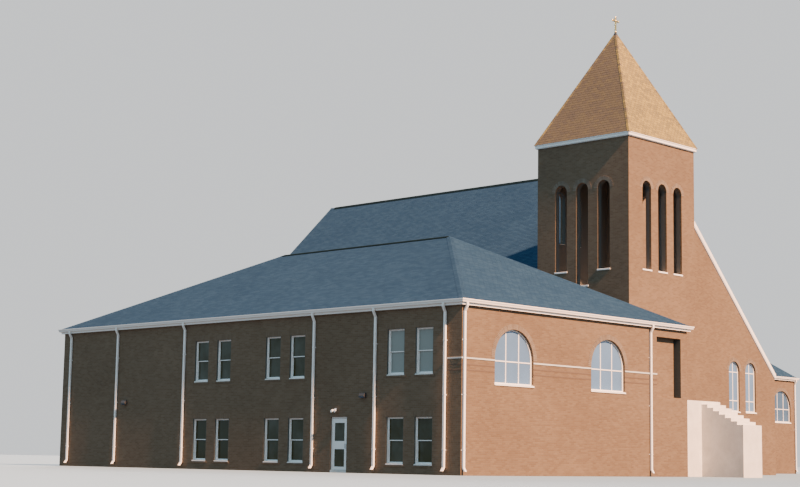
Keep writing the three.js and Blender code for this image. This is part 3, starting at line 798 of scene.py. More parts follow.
def roofPlanes():
    # each slope's name and finish, the left and right end of its eave, and the right and left of its top
    over = roofOverhang
    eave = cornersOf(-over, wingRight + over, -over, wingBack + over, eaveTop)
    hipFront = (wingRight / 2, -over + wingRun, wingRidge)
    hipBack = (wingRight / 2, wingBack + over - wingRun, wingRidge)
    planes = [
        ("wing_front", "slate", eave[0], eave[1], hipFront, hipFront),
        ("wing_right", "slate", eave[1], eave[2], hipBack, hipFront),
        ("wing_rear", "slate", eave[2], eave[3], hipBack, hipBack),
        ("wing_left", "slate", eave[3], eave[0], hipFront, hipBack),
    ]
    left, ridge, right = [[(x, y, naveHeight(x)) for y in (naveLow.y, naveHigh.y)]
                          for x in (naveEaveLeft, naveRidgeX, naveEaveRight)]
    planes += [
        ("nave_left", "slate", left[1], left[0], ridge[0], ridge[1]),
        ("nave_right", "slate", right[0], right[1], ridge[1], ridge[0]),
    ]
    hallRight = hallHigh.x + over
    valley = naveRidgeX + (naveRidge - eaveTop) / navePitch
    eave = cornersOf(valley, hallRight, hallLow.y - over, hallHigh.y + over, eaveTop)
    hipEnd = (hallRight - hallRun, hallMiddle, hallRidge)
    valleyEnd = (naveRidgeX + (naveRidge - hallRidge) / navePitch, hallMiddle, hallRidge)
    planes += [
        ("hall_front", "slate", eave[0], eave[1], hipEnd, valleyEnd),
        ("hall_right", "slate", eave[1], eave[2], hipEnd, hipEnd),
        ("hall_rear", "slate", eave[2], eave[3], valleyEnd, hipEnd),
    ]
    low, high, half = towerRoofLow, towerRoofHigh, towerTip / 2
    x, y = (low.x + high.x) / 2, (low.y + high.y) / 2
    eave = cornersOf(low.x, high.x, low.y, high.y, towerEave)
    tip = cornersOf(x - half, x + half, y - half, y + half, high.z)
    for i, side in enumerate(("front", "right", "rear", "left")):
        j = (i + 1) % 4
        planes.append((f"tower_{side}", "tan", eave[i], eave[j], tip[j], tip[i]))
    return planes


# Rows of like pieces

def rowTree():
    tree, given = newTree("row of pieces", [
        ("Start", "Vector"), ("End", "Vector"), ("Count", "Int"), ("Piece", "Object"), ("Seed", "Int"),
        ("Material", "Material")])
    ends = {"Count": given["Count"], "Start Location": given["Start"], "Offset": given["End"]}
    line = put(tree, "GeometryNodeMeshLine", ends, mode="END_POINTS").outputs[0]
    piece = put(tree, "GeometryNodeObjectInfo", {"Object": given["Piece"]}).outputs["Geometry"]
    laid = toned(tree, layOn(tree, line, piece), 0.0, 1.0, given["Seed"])
    closeTree(tree, laid, given["Material"])
    return tree


def archTree():
    # bricks stood round a half circle, in the plane of X and Y, facing Z
    tree, given = newTree("bricks round an arch", [
        ("Radius", "Float"), ("Count", "Int"), ("Brick", "Vector"), ("Seed", "Int"),
        ("Material", "Material")])
    points = put(tree, "GeometryNodePoints", {"Count": given["Count"]}).outputs[0]
    index = put(tree, "GeometryNodeInputIndex").outputs[0]
    share = calc(tree, "DIVIDE", calc(tree, "ADD", index, 0.5), given["Count"])
    angle = calc(tree, "MULTIPLY", share, math.pi)
    across = calc(tree, "MULTIPLY", calc(tree, "COSINE", angle), given["Radius"])
    up = calc(tree, "MULTIPLY", calc(tree, "SINE", angle), given["Radius"])
    spot = put(tree, "ShaderNodeCombineXYZ", {0: across, 1: up}).outputs[0]
    points = put(tree, "GeometryNodeSetPosition", {"Geometry": points, "Position": spot}).outputs[0]
    brick = put(tree, "GeometryNodeMeshCube", {"Size": given["Brick"]}).outputs[0]
    turn = put(tree, "ShaderNodeCombineXYZ", {2: angle}).outputs[0]
    laid = toned(tree, layOn(tree, points, brick, turn), 0.0, 1.0, given["Seed"])
    closeTree(tree, laid, given["Material"])
    return tree


def rowMesh(tree, shape, start, end, count, finish, seed):
    # the shape is drawn round the origin, and copies of it stand from the row's start to its end
    mesh = bpy.data.meshes.new("piece")
    mesh.from_pydata([Vector(point) * realMillimetre for point in shape.points], [], shape.faces)
    facingOut(mesh)
    piece = bpy.data.objects.new("piece", mesh)
    bpy.context.scene.collection.objects.link(piece)
    made = grow(tree, {"Start": place(*start), "End": place(*end), "Count": count, "Piece": piece,
                       "Seed": seed, "Material": materials[finish]})
    bpy.data.objects.remove(piece)
    return made


def joinMeshes(name, meshes, finish):
    work = bmesh.new()
    for mesh in meshes:
        work.from_mesh(mesh)
        bpy.data.meshes.remove(mesh)
    joined = bpy.data.meshes.new(name)
    work.to_mesh(joined)
    work.free()
    settle(name, joined, finish)


# Ridge and hip caps

cap = {"wing": 150, "step": 127, "lap": 40, "butt": 9, "lift": 10, "settle": 2, "least": 2}
towerCap = {**cap, "wing": 110}


def capPiece(along, sideA, sideB, look):
    # one folded shingle over the line, its lower end lifted onto the cap below
    normal = (-(sideA + sideB)).normalized()
    fold = [side * look["wing"] for side in (sideA, Vector(), sideB)]
    butt, lift = look["butt"], look["lift"]
    rings = []
    for reach, low in ((0, lift + butt), (look["step"] + look["lap"], lift - look["settle"])):
        under, over = [[along * reach + side + normal * up for side in fold] for up in (low, low + butt)]
        rings.append([tuple(point) for point in under + over[::-1]])
    shape = Shape()
    shape.loft(rings)
    return shape


def downFrom(line, toward):
    # the direction in the slope that is square to the line
    return (toward - line * toward.dot(line)).normalized()


def addCaps(tree, name, finish, lines, look):
    meshes = []
    for start, end, towardA, towardB in lines:
        start, end = Vector(start), Vector(end)
        line = (end - start).normalized()
        shape = capPiece(line, downFrom(line, Vector(towardA)), downFrom(line, Vector(towardB)), look)
        count = max(look["least"], int((end - start).length // look["step"]))
        last = start + line * look["step"] * (count - 1)
        meshes.append(rowMesh(tree, shape, start, last, count, finish, len(meshes)))
    joinMeshes(name, meshes, finish)


def hipLines(low, high, eave, pitch, topOf):
    # each hip goes up from a corner of the eaves, between two slopes that fall outwards
    lines = []
    for x, outX in ((low[0], -1), (high[0], 1)):
        for y, outY in ((low[1], -1), (high[1], 1)):
            lines.append(((x, y, eave), topOf(outX, outY, y), (outX, 0, -pitch), (0, outY, -pitch)))
    return lines


def addRoofCaps(tree):
    over = roofOverhang
    hips = hipLines((-over, -over), (wingRight + over, wingBack + over), eaveTop, wingPitch,
                    lambda outX, outY, y: (wingRight / 2, y - outY * wingRun, wingRidge))
    addCaps(tree, "wing_hip_caps", "slate", hips, cap)

    ridge = [((naveRidgeX, naveLow.y, naveRidge), (naveRidgeX, naveHigh.y, naveRidge),
              (-1, 0, -navePitch), (1, 0, -navePitch))]
    addCaps(tree, "nave_ridge_caps", "slate", ridge, cap)

    right = hallHigh.x + over
    toFront, toRear, toRight = (0, -1, -hallPitch), (0, 1, -hallPitch), (1, 0, -hallPitch)
    hipEnd = (right - hallRun, hallMiddle, hallRidge)
    valley = (naveRidgeX + (naveRidge - hallRidge) / navePitch, hallMiddle, hallRidge)
    lines = [((right, hallLow.y - over, eaveTop), hipEnd, toFront, toRight),
             ((right, hallHigh.y + over, eaveTop), hipEnd, toRear, toRight),
             (hipEnd, valley, toFront, toRear)]
    addCaps(tree, "hall_ridge_caps", "slate", lines, cap)

    low, high, half = towerRoofLow, towerRoofHigh, towerTip / 2
    x, y = (low.x + high.x) / 2, (low.y + high.y) / 2
    pitch = (high.z - towerEave) / ((high.x - low.x) / 2 - half)
    hips = hipLines(low, high, towerEave, pitch,
                    lambda outX, outY, _: (x + outX * half, y + outY * half, high.z))
    addCaps(tree, "tower_hip_caps", "tan", hips, towerCap)


ridgeVent = {"wide": 300, "high": 34, "lift": 14, "settle": 6, "shortOf": 60, "shortOfGable": 300}


def addRidgeVents(look):
    half, lift, high = look["wide"] / 2, look["lift"], look["high"]
    hipEnd = wingRight / 2 + look["shortOf"]
    gableEnd = look["shortOfGable"]
    for name, x, ridge, slope, front, back in (
        ("wing_ridge_vent", wingRight / 2, wingRidge, wingPitch, hipEnd, wingBack - hipEnd),
        ("nave_ridge_vent", naveRidgeX, naveRidge, navePitch, naveLow.y + gableEnd, naveHigh.y - gableEnd),
    ):
        low = ridge - half * slope + lift
        section = ((x - half, low), (x, ridge + lift - look["settle"]), (x + half, low),
                   (x + half, low + high), (x, ridge + lift + high), (x - half, low + high))
        shape = Shape()
        shape.loft([[(px, y, up) for px, up in section] for y in (front, back)])
        dress(name, shape, "vent", bevel=3)


# Sloping boards of the gables

gables = (  # where the boards' face stands, which way it looks, and the left end of what shows
    (naveLow.y, -1, towerHigh.x + 2), (naveHigh.y, 1, naveLow.x),
)
rakeEdge = {"over": 40, "thick": 40, "metal": 6, "inward": 8, "clear": 0.5, "bite": 1, "tone": 0.5}
rakeMould = {"under": 210, "drop": 62, "proud": 38, "foot": 8, "bite": 5, "overlap": 2}


def alongRakes(shape, profile, rightEnd, under=0):
    # takes a profile of (out from the gable, up) over the slopes of both gables
    for face, out, leftEnd in gables:
        for start, end in ((leftEnd, naveRidgeX), (naveRidgeX, rightEnd)):
            shape.loft([[(x, face + out * proud, naveHeight(x) - under + up) for proud, up in profile]
                        for x in (start, end)])


def addRakeEdges(look):
    # the roofing turned up and over the tops of the sloping boards
    inward, bite, low = -look["inward"], -look["bite"], look["over"] + look["clear"]
    outer, high = look["thick"] - look["clear"], look["over"] + look["metal"]
    profile = ((inward, 0), (bite, 0), (bite, low), (outer, low), (outer, high), (inward, high))
    shape = Shape()
    shape.tone = look["tone"]
    alongRakes(shape, profile, naveEaveRight - look["bite"])
    dress("nave_rake_edges", shape, "slate")


def addRakeMoulds(look):
    # a small moulding in the corner under the sloping boards
    top, bite = look["overlap"], -look["bite"]
    profile = ((bite, top), (look["proud"], top), (look["proud"], 0), (look["foot"], -look["drop"]),
               (bite, -look["drop"]))
    shape = Shape()
    alongRakes(shape, profile, naveHigh.x, look["under"])
    dress("nave_rake_moulds", shape, "white")


# Gutters, downspouts and soffits

gutter = {
    "wide": 130, "high": 130,
    "outer": ((0, 0), (0, -130), (76, -130), (94, -116), (100, -84), (116, -52), (130, -34), (130, 0)),
    "inner": ((114, 0), (114, -6), (123, -8), (123, -32), (110, -48), (93, -81), (88, -111), (73, -123),
              (7, -123), (7, 0)),
    "naveWide": 0.76, "naveHigh": 0.85, "naveClear": 2, "wingClear": 5,
}
spout = {
    "wide": 100, "deep": 80, "offWall": 20, "foot": 150, "kick": 85, "kickHigh": 130, "bendTop": 120,
    "bend": 200, "outlet": 135, "intoGutter": 6, "corner": 8, "flute": (24, 29, 38, 43), "fluteDeep": 6,
    "straps": (900, 2900, 4900), "strapHigh": 28, "strapThick": 5, "strapClear": 4, "strapBite": 2,
    "ear": 16, "earThick": 4,
}
spoutWalls = {  # where the downspouts stand along each wall
    "wing": (("wing left", (790, 4400, 7840, 16070, 20930, 24610)), ("wing front", (84, 11760)),
             ("wing rear", (400, 14000))),
    "hall": (("hall front", (hallHigh.x - 110,)), ("hall rear", (hallHigh.x - 110,))),
}


def sweep(shape, path, profile, level, closed=False, outward=1):
    # profile points are (outward, up) and follow the path round its corners with mitred joints
    count = len(path)
    spans = [Vector(path[(i + 1) % count]) - Vector(path[i]) for i in range(count if closed else count - 1)]
    normals = [Vector((run.y, -run.x)).normalized() * outward for run in spans]
    rings = []
    for i, (x, y) in enumerate(path):
        before = normals[i - 1] if i or closed else normals[0]
        after = normals[i] if i < len(normals) else normals[-1]
        mitre = (before + after) / (1 + before.dot(after))
        rings.append([(x + mitre.x * out, y + mitre.y * out, level + up) for out, up in profile])
    shape.loft(rings, closed)


def spoutOutline(look):
    # fluted tube with its corners cut, in (along, out from the wall)
    half, near, far = look["wide"] / 2, look["offWall"], look["offWall"] + look["deep"]
    cut, deep = look["corner"], (0, look["fluteDeep"], look["fluteDeep"], 0)
    right = [(half - cut, near), (half, near + cut), (half, far - cut), (half - cut, far)]
    right += [(half - inward, far - dip) for inward, dip in zip(look["flute"], deep)]
    return right + [(-along, out) for along, out in reversed(right)]


def addSpouts(name, runs, top, look):
    shape = Shape()
    shift = look["outlet"] - look["offWall"]
    gutterFoot = top - gutter["high"]
    bendTop = gutterFoot - look["bendTop"]
    stops = ((look["foot"], look["kick"]), (look["foot"] + look["kickHigh"], 0), (bendTop - look["bend"], 0),
             (bendTop, shift), (gutterFoot + look["intoGutter"], shift))
    outline = spoutOutline(look)
    half, thick = look["wide"] / 2 + look["strapClear"], look["strapThick"]
    near, far = look["offWall"] + look["deep"] - look["strapBite"], look["offWall"] + look["deep"] + thick
    for wall, places in runs:
        at = walls[wall]
        for along in places:
            shape.loft([[at(along + a, -(out + push), up) for a, out in outline] for up, push in stops])
            for level in look["straps"]:
                high = (level, level + look["strapHigh"])
                wallBox(shape, wall, (along - half, along + half), (-far, -near), high)
                for side in (-1, 1):
                    end = along + side * half
                    wallBox(shape, wall, (end, end - side * thick), (-far, 0), high)
                    wallBox(shape, wall, (end, end + side * look["ear"]), (-look["earThick"], 0), high)
    dress(name, shape, "white")


soffit = {"thick": 12, "fascia": 10, "fasciaFoot": 30, "clear": 1}


def addSoffit(name, path, look, outward):
    # boards under the overhang and over the roof's edge, below the gutter
    shape = Shape()
    over, outer, clear = roofOverhang, roofOverhang + look["fascia"], look["clear"]
    foot = eaveTop - gutter["high"] - wallTop + look["fasciaFoot"]
    board = ((0, 0), (outer, 0), (outer, -look["thick"]), (0, -look["thick"]))
    sweep(shape, path, board, wallTop - clear, outward=outward)
    fascia = ((over, foot), (outer, foot), (outer, -clear), (over, -clear))
    sweep(shape, path, fascia, wallTop, outward=outward)
    dress(name, shape, "white")


def addEaves():
    over, right, back = roofOverhang, wingRight, wingBack
    profile = gutter["outer"] + gutter["inner"]
    wingPath = [(right + over, towerLow.y), (right + over, -over), (-over, -over), (-over, back + over),
                (right, back + over)]
    wingWalls = [(right, towerLow.y), (right, 0), (0, 0), (0, back), (right, back)]
    hallPath, hallWalls = [
        [(hallLow.x, hallLow.y - out), (hallHigh.x + out, hallLow.y - out),
         (hallHigh.x + out, hallHigh.y + out), (hallLow.x, hallHigh.y + out)] for out in (over, 0)]
    for name, path, outward in (("wing", wingPath, -1), ("hall", hallPath, 1)):
        shape = Shape()
        sweep(shape, path, profile, eaveTop, outward=outward)
        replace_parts(dress(f"{name}_gutter_trough", shape, "white"), f"{name}_gutter")
        addSpouts(f"{name}_downspouts", spoutWalls[name], eaveTop, spout)
    addSoffit("wing_soffit", wingWalls, soffit, -1)
    addSoffit("hall_soffit", hallWalls, soffit, 1)

    # the nave's smaller gutters run between its sloping boards and the gutters of the wing and hall
    shape = Shape()
    narrow = [(out * gutter["naveWide"], up * gutter["naveHigh"]) for out, up in profile]
    front, rear = naveLow.y - rakeEdge["thick"], naveHigh.y + rakeEdge["thick"]
    gap = over + gutter["naveClear"]
    for start, end in ((front, hallLow.y - gap), (hallHigh.y + gap, rear)):
        sweep(shape, [(naveEaveRight, start), (naveEaveRight, end)], narrow, naveHeight(naveEaveRight))
    start = wingBack + over + gutter["wide"] + gutter["wingClear"]
    sweep(shape, [(naveEaveLeft, start), (naveEaveLeft, rear)], narrow, naveHeight(naveEaveLeft), outward=-1)
    dress("nave_gutters", shape, "white")


# Brick details

brickDetail = {
    "ringHigh": 203, "ringThick": 57, "joint": 10, "proud": 9, "inWall": 40, "clear": 4,
    "lintelHigh": 203, "lintelEar": 100, "lintelProud": 3, "sillHigh": 70, "sillProud": 18,
}
belfry = {
    "wide": 675, "top": 13310, "spacing": 1224, "sill": 9240, "leftMiddleSill": 8550, "rearSill": 10800,
    "ear": 30, "proud": 28, "low": 60, "high": 8,
    "deep": 300, "stepLow": 0.5, "stepHigh": 14, "stepClear": 1,
}
towerMiddle = ((towerLow.x + towerHigh.x) / 2, (towerLow.y + towerHigh.y) / 2)
belfryWalls = {
    "tower front": towerMiddle[0], "tower rear": towerMiddle[0],
    "tower left": towerMiddle[1], "tower right": towerMiddle[1],
}


def wallMatrix(wall, along, up, depth):
    # stands X along the wall, Y up and Z out of it
    at = walls[wall]
    here = place(*at(along, depth, up))
    alongWall = (place(*at(along + 1, depth, up)) - here).normalized()
    outOfWall = (place(*at(along, depth - 1, up)) - here).normalized()
    upward = Vector((0, 0, 1))
    if alongWall.cross(upward).dot(outOfWall) < 0:
        alongWall = -alongWall
    return standing(here, alongWall, upward, outOfWall)


def addArchRings(tree, look):
    arches = []
    for wall, (kind, _, centres, _) in archedWalls.items():
        opening = arched[kind]
        arches += [(wall, centre, opening["wide"] / 2, opening["top"]) for centre in centres]
    for wall, middle in belfryWalls.items():
        arches += [(wall, middle + side * belfry["spacing"], belfry["wide"] / 2, belfry["top"])
                   for side in (-1, 0, 1)]
    meshes = []
    thick = (look["proud"] + look["inWall"]) * realMillimetre
    depth = (look["inWall"] - look["proud"]) / 2
    brick = Vector((look["ringHigh"], look["ringThick"], 0)) * realMillimetre + Vector((0, 0, thick))
    for number, (wall, centre, radius, top) in enumerate(arches):
        middle = radius + look["ringHigh"] / 2 + look["clear"]
        count = round(math.pi * middle / (look["ringThick"] + look["joint"]))
        mesh = grow(tree, {"Radius": middle * realMillimetre, "Count": count, "Brick": brick, "Seed": number,
                           "Material": materials["pale brick"]})
        mesh.transform(wallMatrix(wall, centre, top - radius, depth))
        meshes.append(mesh)
    joinMeshes("arch_rings", meshes, "pale brick")


def addLintels(tree, look):
    # upright bricks over every sash window, and bricks on edge under its sill
    meshes = []
    step, reach = look["ringThick"] + look["joint"], look["ringThick"] / 2
    count = round(2 * (sash["wide"] / 2 + look["lintelEar"]) / step)
    run = (count - 1) / 2 * step
    for wall, pairs in sashWalls.items():
        at = walls[wall]
        for storey in storeys:
            bottom, top = sash[storey]
            courses = (
                (top + look["clear"], look["lintelProud"], (0, look["lintelHigh"])),
                (bottom - sash["sillHigh"] - look["clear"], look["sillProud"], (-look["sillHigh"], 0)),
            )
            for centre in [pair + side * sash["pairSpacing"] / 2 for pair in pairs for side in (-1, 1)]:
                for level, proud, high in courses:
                    brick = Shape()
                    brick.box(*[Vector(at(*end)) - Vector(at(0, 0, 0)) for end in (
                        (-reach, -proud, high[0]), (reach, look["inWall"], high[1]))])
                    first, last = [at(centre + side * run, 0, level) for side in (-1, 1)]
                    meshes.append(rowMesh(tree, brick, first, last, count, "brick unit", len(meshes)))
    joinMeshes("window_soldier_courses", meshes, "brick unit")


recess = {
    "left": 12263, "right": 14036, "top": 5830, "deep": 420, "panel": 190, "facing": 4,
    "bite": 20, "inset": 3, "clear": 2,
}
stringCourse = {
    "level": 4225, "high": 58, "proud": 22, "leftEnd": 700, "darkCourses": (3985, 3782), "darkProud": 5,
    "inWall": 20, "clear": 2,
}


def addStringCourse(look):
    # the pale course and the two dark ones, which stop at the arched windows and the recess
    half, inWall = arched["low"]["wide"] / 2 + look["clear"], look["inWall"]
    centres = archedWalls["wing front"][2]
    edges = [edge for centre in centres for edge in (centre - half, centre + half)] + [recess["left"]]
    for name, levels, high, proud, finish in (
        ("string_course", (look["level"],), look["high"], look["proud"], "pale stone"),
        ("dark_courses", look["darkCourses"], brickWork["course"] - brickWork["joint"], look["darkProud"],
         "dark brick"),
    ):
        shape = Shape()
        profile = ((-inWall, 0), (proud, 0), (proud, high), (-inWall, high))
        for level in levels:
            sweep(shape, [(edges[0], 0), (0, 0), (0, look["leftEnd"])], profile, level, outward=-1)
            for left, right in zip(edges[1::2], edges[2::2]):
                wallBox(shape, "wing front", (left, right), (-proud, inWall), (level, level + high))
        dress(name, shape, finish, bevel=3)


def addRecess(look):
    # the back of the recess comes forward as a panel, and the slot beside it on the right is lined with a
    # thin facing painted dark as shade
    panel, facing = Shape(), Shape()
    left, right, deep, bite, inset = [look[key] for key in ("left", "right", "deep", "bite", "inset")]
    panel.box((left, deep - look["panel"], mainFloor),
              (right - look["panel"] - bite, deep + bite, look["top"]))
    dress("recess_panel", panel, "brick")
    facing.box((right - look["facing"], inset, mainFloor + look["clear"]),
               (right + bite, deep - inset, look["top"] - look["clear"]))
    dress("recess_facing", facing, "painted shade brick")


def addBelfrySills(look):
    shape = Shape()
    half = look["wide"] / 2
    wide, narrow = half + look["ear"], half - look["stepClear"]
    levels = {("tower rear", side): look["rearSill"] for side in (-1, 0, 1)}
    levels["tower left", 0] = look["leftMiddleSill"]
    for wall, middle in belfryWalls.items():
        for side in (-1, 0, 1):
            centre, level = middle + side * look["spacing"], levels.get((wall, side), look["sill"])
            wallBox(shape, wall, (centre - wide, centre + wide), (-look["proud"], 0),
                    (level - look["low"], level + look["high"]))
            wallBox(shape, wall, (centre - narrow, centre + narrow), (0, look["deep"]),
                    (level + look["stepLow"], level + look["stepHigh"]))
    dress("belfry_sills", shape, "white", bevel=4)


cornice = {
    "profile": ((-20, 0), (60, 0), (72, 24), (96, 30), (96, 118), (108, 130), (120, 150), (120, 178),
                (-20, 178)),
    "high": 180,
}


def addCornice(look):
    low, high = towerLow, towerHigh
    path = [(low.x, low.y), (high.x, low.y), (high.x, high.y), (low.x, high.y)]
    shape = Shape()
    sweep(shape, path, look["profile"], towerEave - look["high"], closed=True)
    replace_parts(dress("tower_cornice_moulding", shape, "white", bevel=3), "tower_cornice")


# Cross

cross = {
    "bar": 80, "armAt": 700, "bud": 38, "sideBud": 30, "budBite": 4, "sideBite": 6, "barFoot": 104,
    "knop": 62, "knopAt": 150, "bevel": 8, "foot": ((79, -34), (79, 14), (52, 60), (39, 130)),
    "rings": 8, "sides": 12, "poleGap": 0.02,
}


def circle(radius, sides):
    turns = [2 * math.pi * i / sides for i in range(sides)]
    return [(radius * math.cos(turn), radius * math.sin(turn)) for turn in turns]


def addBall(shape, centre, radius, look):
    # rings from pole to pole, the first and last of them tiny
    x, y, z = centre
    rings, gap = look["rings"], look["poleGap"]
    stack = []
    for i in range(rings + 1):
        lean = math.pi * min(max(i, gap), rings - gap) / rings
        stack.append([(x + across, y + deep, z - radius * math.cos(lean))
                      for across, deep in circle(radius * math.sin(lean), look["sides"])])
    shape.loft(stack)


def addCross(look):
    low, high = span("tower_cross")
    x, y, foot, top = (low.x + high.x) / 2, (low.y + high.y) / 2, low.z, high.z
    bar, bud, small = look["bar"] / 2, look["bud"], look["sideBud"]
    arm, half = foot + look["armAt"], (high.x - low.x) / 2
    shape = Shape()
    shape.box((x - bar, y - bar, foot + look["barFoot"]), (x + bar, y + bar, top - 2 * bud))
    shape.box((x - half + 2 * bud, y - bar, arm - bar), (x + half - 2 * bud, y + bar, arm + bar))
    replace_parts(dress("tower_cross_bars", shape, "gilt", bevel=look["bevel"]), "tower_cross")

    # three buds at the end of every arm, and a knop at the crossing and at the foot
    inner, beside = 2 * bud - look["budBite"], bar - look["sideBite"]
    balls = [((x, y, top - bud), bud)]
    for side in (-1, 1):
        balls += [((x + side * beside, y, top - inner), small), ((x + side * (half - bud), y, arm), bud)]
        balls += [((x + side * (half - inner), y, arm + up * beside), small) for up in (-1, 1)]
    balls += [((x, y, arm), look["knop"]), ((x, y, foot + look["knopAt"]), look["knop"])]
    buds = Shape()
    for centre, radius in balls:
        addBall(buds, centre, radius, look)
    dress("tower_cross_buds", buds, "gilt", smooth=True)

    base = Shape()
    base.loft([cornersOf(x - wide, x + wide, y - wide, y + wide, foot + up) for wide, up in look["foot"]])
    dress("tower_cross_base", base, "dark metal", bevel=4)


# Side door, drawn in the left wall from its outer face

sideDoor = {
    "front": 5990, "back": 6770, "bottom": 110, "top": 2090, "depth": (60, 105), "stile": 98,
    "panes": ((218, 920), (1205, 1935)), "glassDepth": (78, 86), "rebate": 3,
    "bead": 14, "beadDepth": (55, 99), "panelInset": 26, "panelDepth": (56, 61), "handleHigh": 1020,
}
hinge = {
    "x": 48, "y": 6775, "radius": 8, "sides": 16, "levels": (250, 1050, 1850), "knuckle": (51, 100),
    "plateDepth": (53, 61), "plate": (6740, 6774),
}
doorPull = {  # each part's half width, half height and depths
    "plate": (22, 95, (56, 60)), "arm": (7, 8, (14, 58)), "armsAt": 77, "grip": (10, 85, (2, 18)),
}


def addSideDoor(look):
    wall, depth, stile = "wing left", look["depth"], look["stile"]
    front, back, bottom, top = [look[key] for key in ("front", "back", "bottom", "top")]
    inFront, inBack = front + stile, back - stile
    frames, panes = Shape(), Shape()
    wallBox(frames, wall, (front, inFront), depth, (bottom, top))
    wallBox(frames, wall, (inBack, back), depth, (bottom, top))
    (lowFoot, lowTop), (highFoot, highTop) = look["panes"]
    for rail in ((bottom, lowFoot), (lowTop, highFoot), (highTop, top)):
        wallBox(frames, wall, (inFront, inBack), depth, rail)
    inset, bead, grip = look["panelInset"], look["bead"], look["rebate"]
    wallBox(frames, wall, (inFront + inset, inBack - inset), look["panelDepth"],
            (lowTop + inset, highFoot - inset))
    for low, high in look["panes"]:
        ringOf(frames, wall, inFront, inBack, low, high, bead, look["beadDepth"])
        wallBox(panes, wall, (inFront + bead - grip, inBack - bead + grip), look["glassDepth"],
                (low + bead - grip, high - bead + grip))
    ring = [(hinge["x"] + x, hinge["y"] + y) for x, y in circle(hinge["radius"], hinge["sides"])]
    for level in hinge["levels"]:
        knuckle = [level + end for end in hinge["knuckle"]]
        frames.loft([[(x, y, up) for x, y in ring] for up in knuckle])
        wallBox(frames, wall, hinge["plate"], hinge["plateDepth"], knuckle)
    leaf = dress("side_door_leaf", frames, "white", "side_door", bevel=3)
    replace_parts(leaf, "side_door")
    dress("side_door_glass", panes, "glass", "side_door")

    pull = Shape()
    middle, level = front + stile / 2, look["handleHigh"]
    arm = doorPull["arm"]
    for (wide, high, deep), at in ((doorPull["plate"], level), (arm, level - doorPull["armsAt"]),
                                   (arm, level + doorPull["armsAt"]), (doorPull["grip"], level)):
        wallBox(pull, wall, (middle - wide, middle + wide), deep, (at - high, at + high))
    dress("side_door_pull", pull, "satin metal", "side_door", bevel=4)


# Tower entrance doors

entrance = {
    "frame": 55, "frameProud": 20, "gap": 4, "meeting": 3, "threshold": 8, "stile": 95, "kickRail": 230,
    "midRail": (880, 1010), "glass": 8, "rebate": 3, "tone": 0.05,
    "pullAt": (55, 1080), "pull": (11, 160, (42, 62)), "arm": (8, 8, (0, 44)), "armsAt": 130,
}


def addEntranceDoors(look):
    low, high = span("tower_entrance_doors")
    near, far = low.y, high.y
    left, right, bottom, top = low.x, high.x, low.z, high.z
    frames, panes = Shape(), Shape()
    edge, stile, gap, grip = look["frame"], look["stile"], look["gap"], look["rebate"]
    outer, inner = near - look["frameProud"], far + look["frameProud"]
    frames.box((left, outer, bottom), (left + edge, inner, top))
    frames.box((right - edge, outer, bottom), (right, inner, top))
    frames.box((left + edge, outer, top - edge), (right - edge, inner, top))
    middle, glassAt, half = (left + right) / 2, (near + far) / 2, look["glass"] / 2
    foot, head = bottom + look["threshold"], top - edge - gap
    kick, (midLow, midHigh) = foot + look["kickRail"], [bottom + level for level in look["midRail"]]
    for start, end in (
        (left + edge + gap, middle - look["meeting"]), (middle + look["meeting"], right - edge - gap),
    ):
        frames.box((start, near, foot), (start + stile, far, head))
        frames.box((end - stile, near, foot), (end, far, head))
        for railLow, railHigh in ((foot, kick), (midLow, midHigh), (head - stile, head)):
            frames.box((start + stile, near, railLow), (end - stile, far, railHigh))
        for paneLow, paneHigh in ((kick, midLow), (midHigh, head - stile)):
            panes.box((start + stile - grip, glassAt - half, paneLow - grip),
                      (end - stile + grip, glassAt + half, paneHigh + grip))
    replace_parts(dress("tower_entrance_leaves", frames, "bronze", bevel=4), "tower_entrance_doors")
    # the door panes get a little painted sky reflection
    panes.tone = look["tone"]
    dress("tower_entrance_glass", panes, "pale glass")
    pulls = Shape()
    for side in (-1, 1):
        x, level = middle + side * look["pullAt"][0], bottom + look["pullAt"][1]
        for (wide, high, (inward, out)), z in ((look["pull"], level), (look["arm"], level - look["armsAt"]),
                                               (look["arm"], level + look["armsAt"])):
            pulls.box((x - wide, near - out, z - high), (x + wide, near - inward, z + high))
    dress("tower_entrance_pulls", pulls, "satin metal", bevel=4)


# Lamps on the left wall

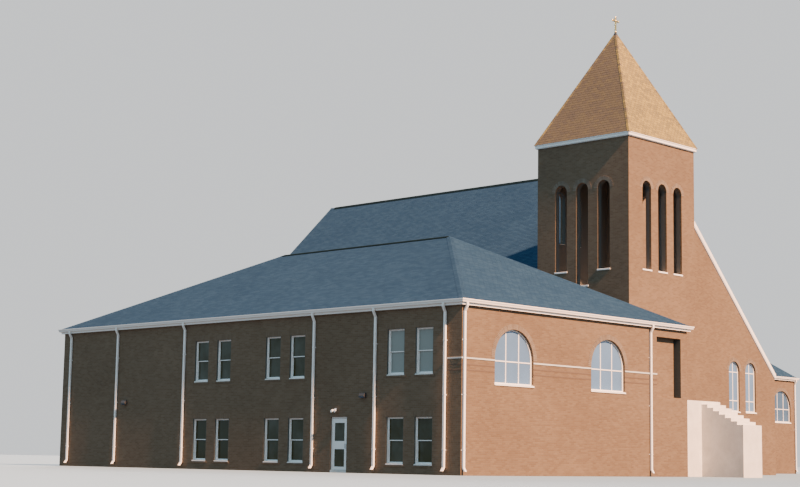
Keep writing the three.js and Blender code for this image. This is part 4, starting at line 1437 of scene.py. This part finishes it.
lamps = {
    "doorLamp": (6570, 2430), "backPlate": (14, 60), "reach": 20, "lean": 0.5, "sides": 14,
    "spot": ((20, 0, 16), (60, 10, 22), (70, 14, 40), (150, 60, 52)),
    "wallPacks": ((5030, 2960), (20300, 2890)), "packHalf": 150, "lensHalf": 125, "lensReflection": 0.5,
    "pack": ((0, -90), (70, -90), (140, -60), (140, -10), (90, 90), (0, 110)),
    "lens": ((66, -93), (138, -62), (136, -54), (64, -85)),
}


def addLamps(look):
    # two spots on a plate over the side door
    shape = Shape()
    y, z = look["doorLamp"]
    thick, half = look["backPlate"]
    shape.box((-thick, y - half, z - half), (0, y + half, z + half))
    for side in (-1, 1):
        rings = []
        for out, drop, radius in look["spot"]:
            middle, level = y + side * (look["reach"] + out * look["lean"]), z - drop
            around = circle(radius, look["sides"])
            rings.append([(-out, middle + across, level + up) for across, up in around])
        shape.loft(rings)
    dress("side_door_lamp", shape, "white", bevel=3)

    # and two plain wall lights, each with its lens underneath
    packs, lenses = Shape(), Shape()
    # the lenses get a painted reflection in their glass colour
    lenses.tone = look["lensReflection"]
    for y, z in look["wallPacks"]:
        for part, kind in ((packs, "pack"), (lenses, "lens")):
            half = look[kind + "Half"]
            part.loft([[(-out, along, z + up) for out, up in look[kind]] for along in (y - half, y + half)])
    dress("wall_pack_lights", packs, "dark metal", bevel=6)
    dress("wall_pack_lenses", lenses, "pale glass")


addCamera(camera)
addLight(light)
dressNodes()
print("camera, light and materials ready")

addSashWindows(sash)
addArchedWindows(arched)
rows, rings = rowTree(), archTree()
addEaves()
addRakeMoulds(rakeMould)
addRoofCaps(rows)
addRidgeVents(ridgeVent)
addRakeEdges(rakeEdge)
print("eaves and ridges done")
addArchRings(rings, brickDetail)
addLintels(rows, brickDetail)
addStringCourse(stringCourse)
addRecess(recess)
addBelfrySills(belfry)
addCornice(cornice)
addCross(cross)
addSideDoor(sideDoor)
addEntranceDoors(entrance)
addLamps(lamps)
print("brick details, doors and lamps done")
slopes = shingleTree()
for roofName, roofFinish, *roofCorners in roofPlanes():
    tabs = shingle
    # the tower's roof faces get their painted light and shade here
    if roofName in sunAndShadeTones:
        tabs = {**towerShingle, "tones": sunAndShadeTones[roofName]}
    addShingles(slopes, f"shingles_{roofName}", roofFinish, *roofCorners, tabs)

addFloor(light)

print("pieces in place")
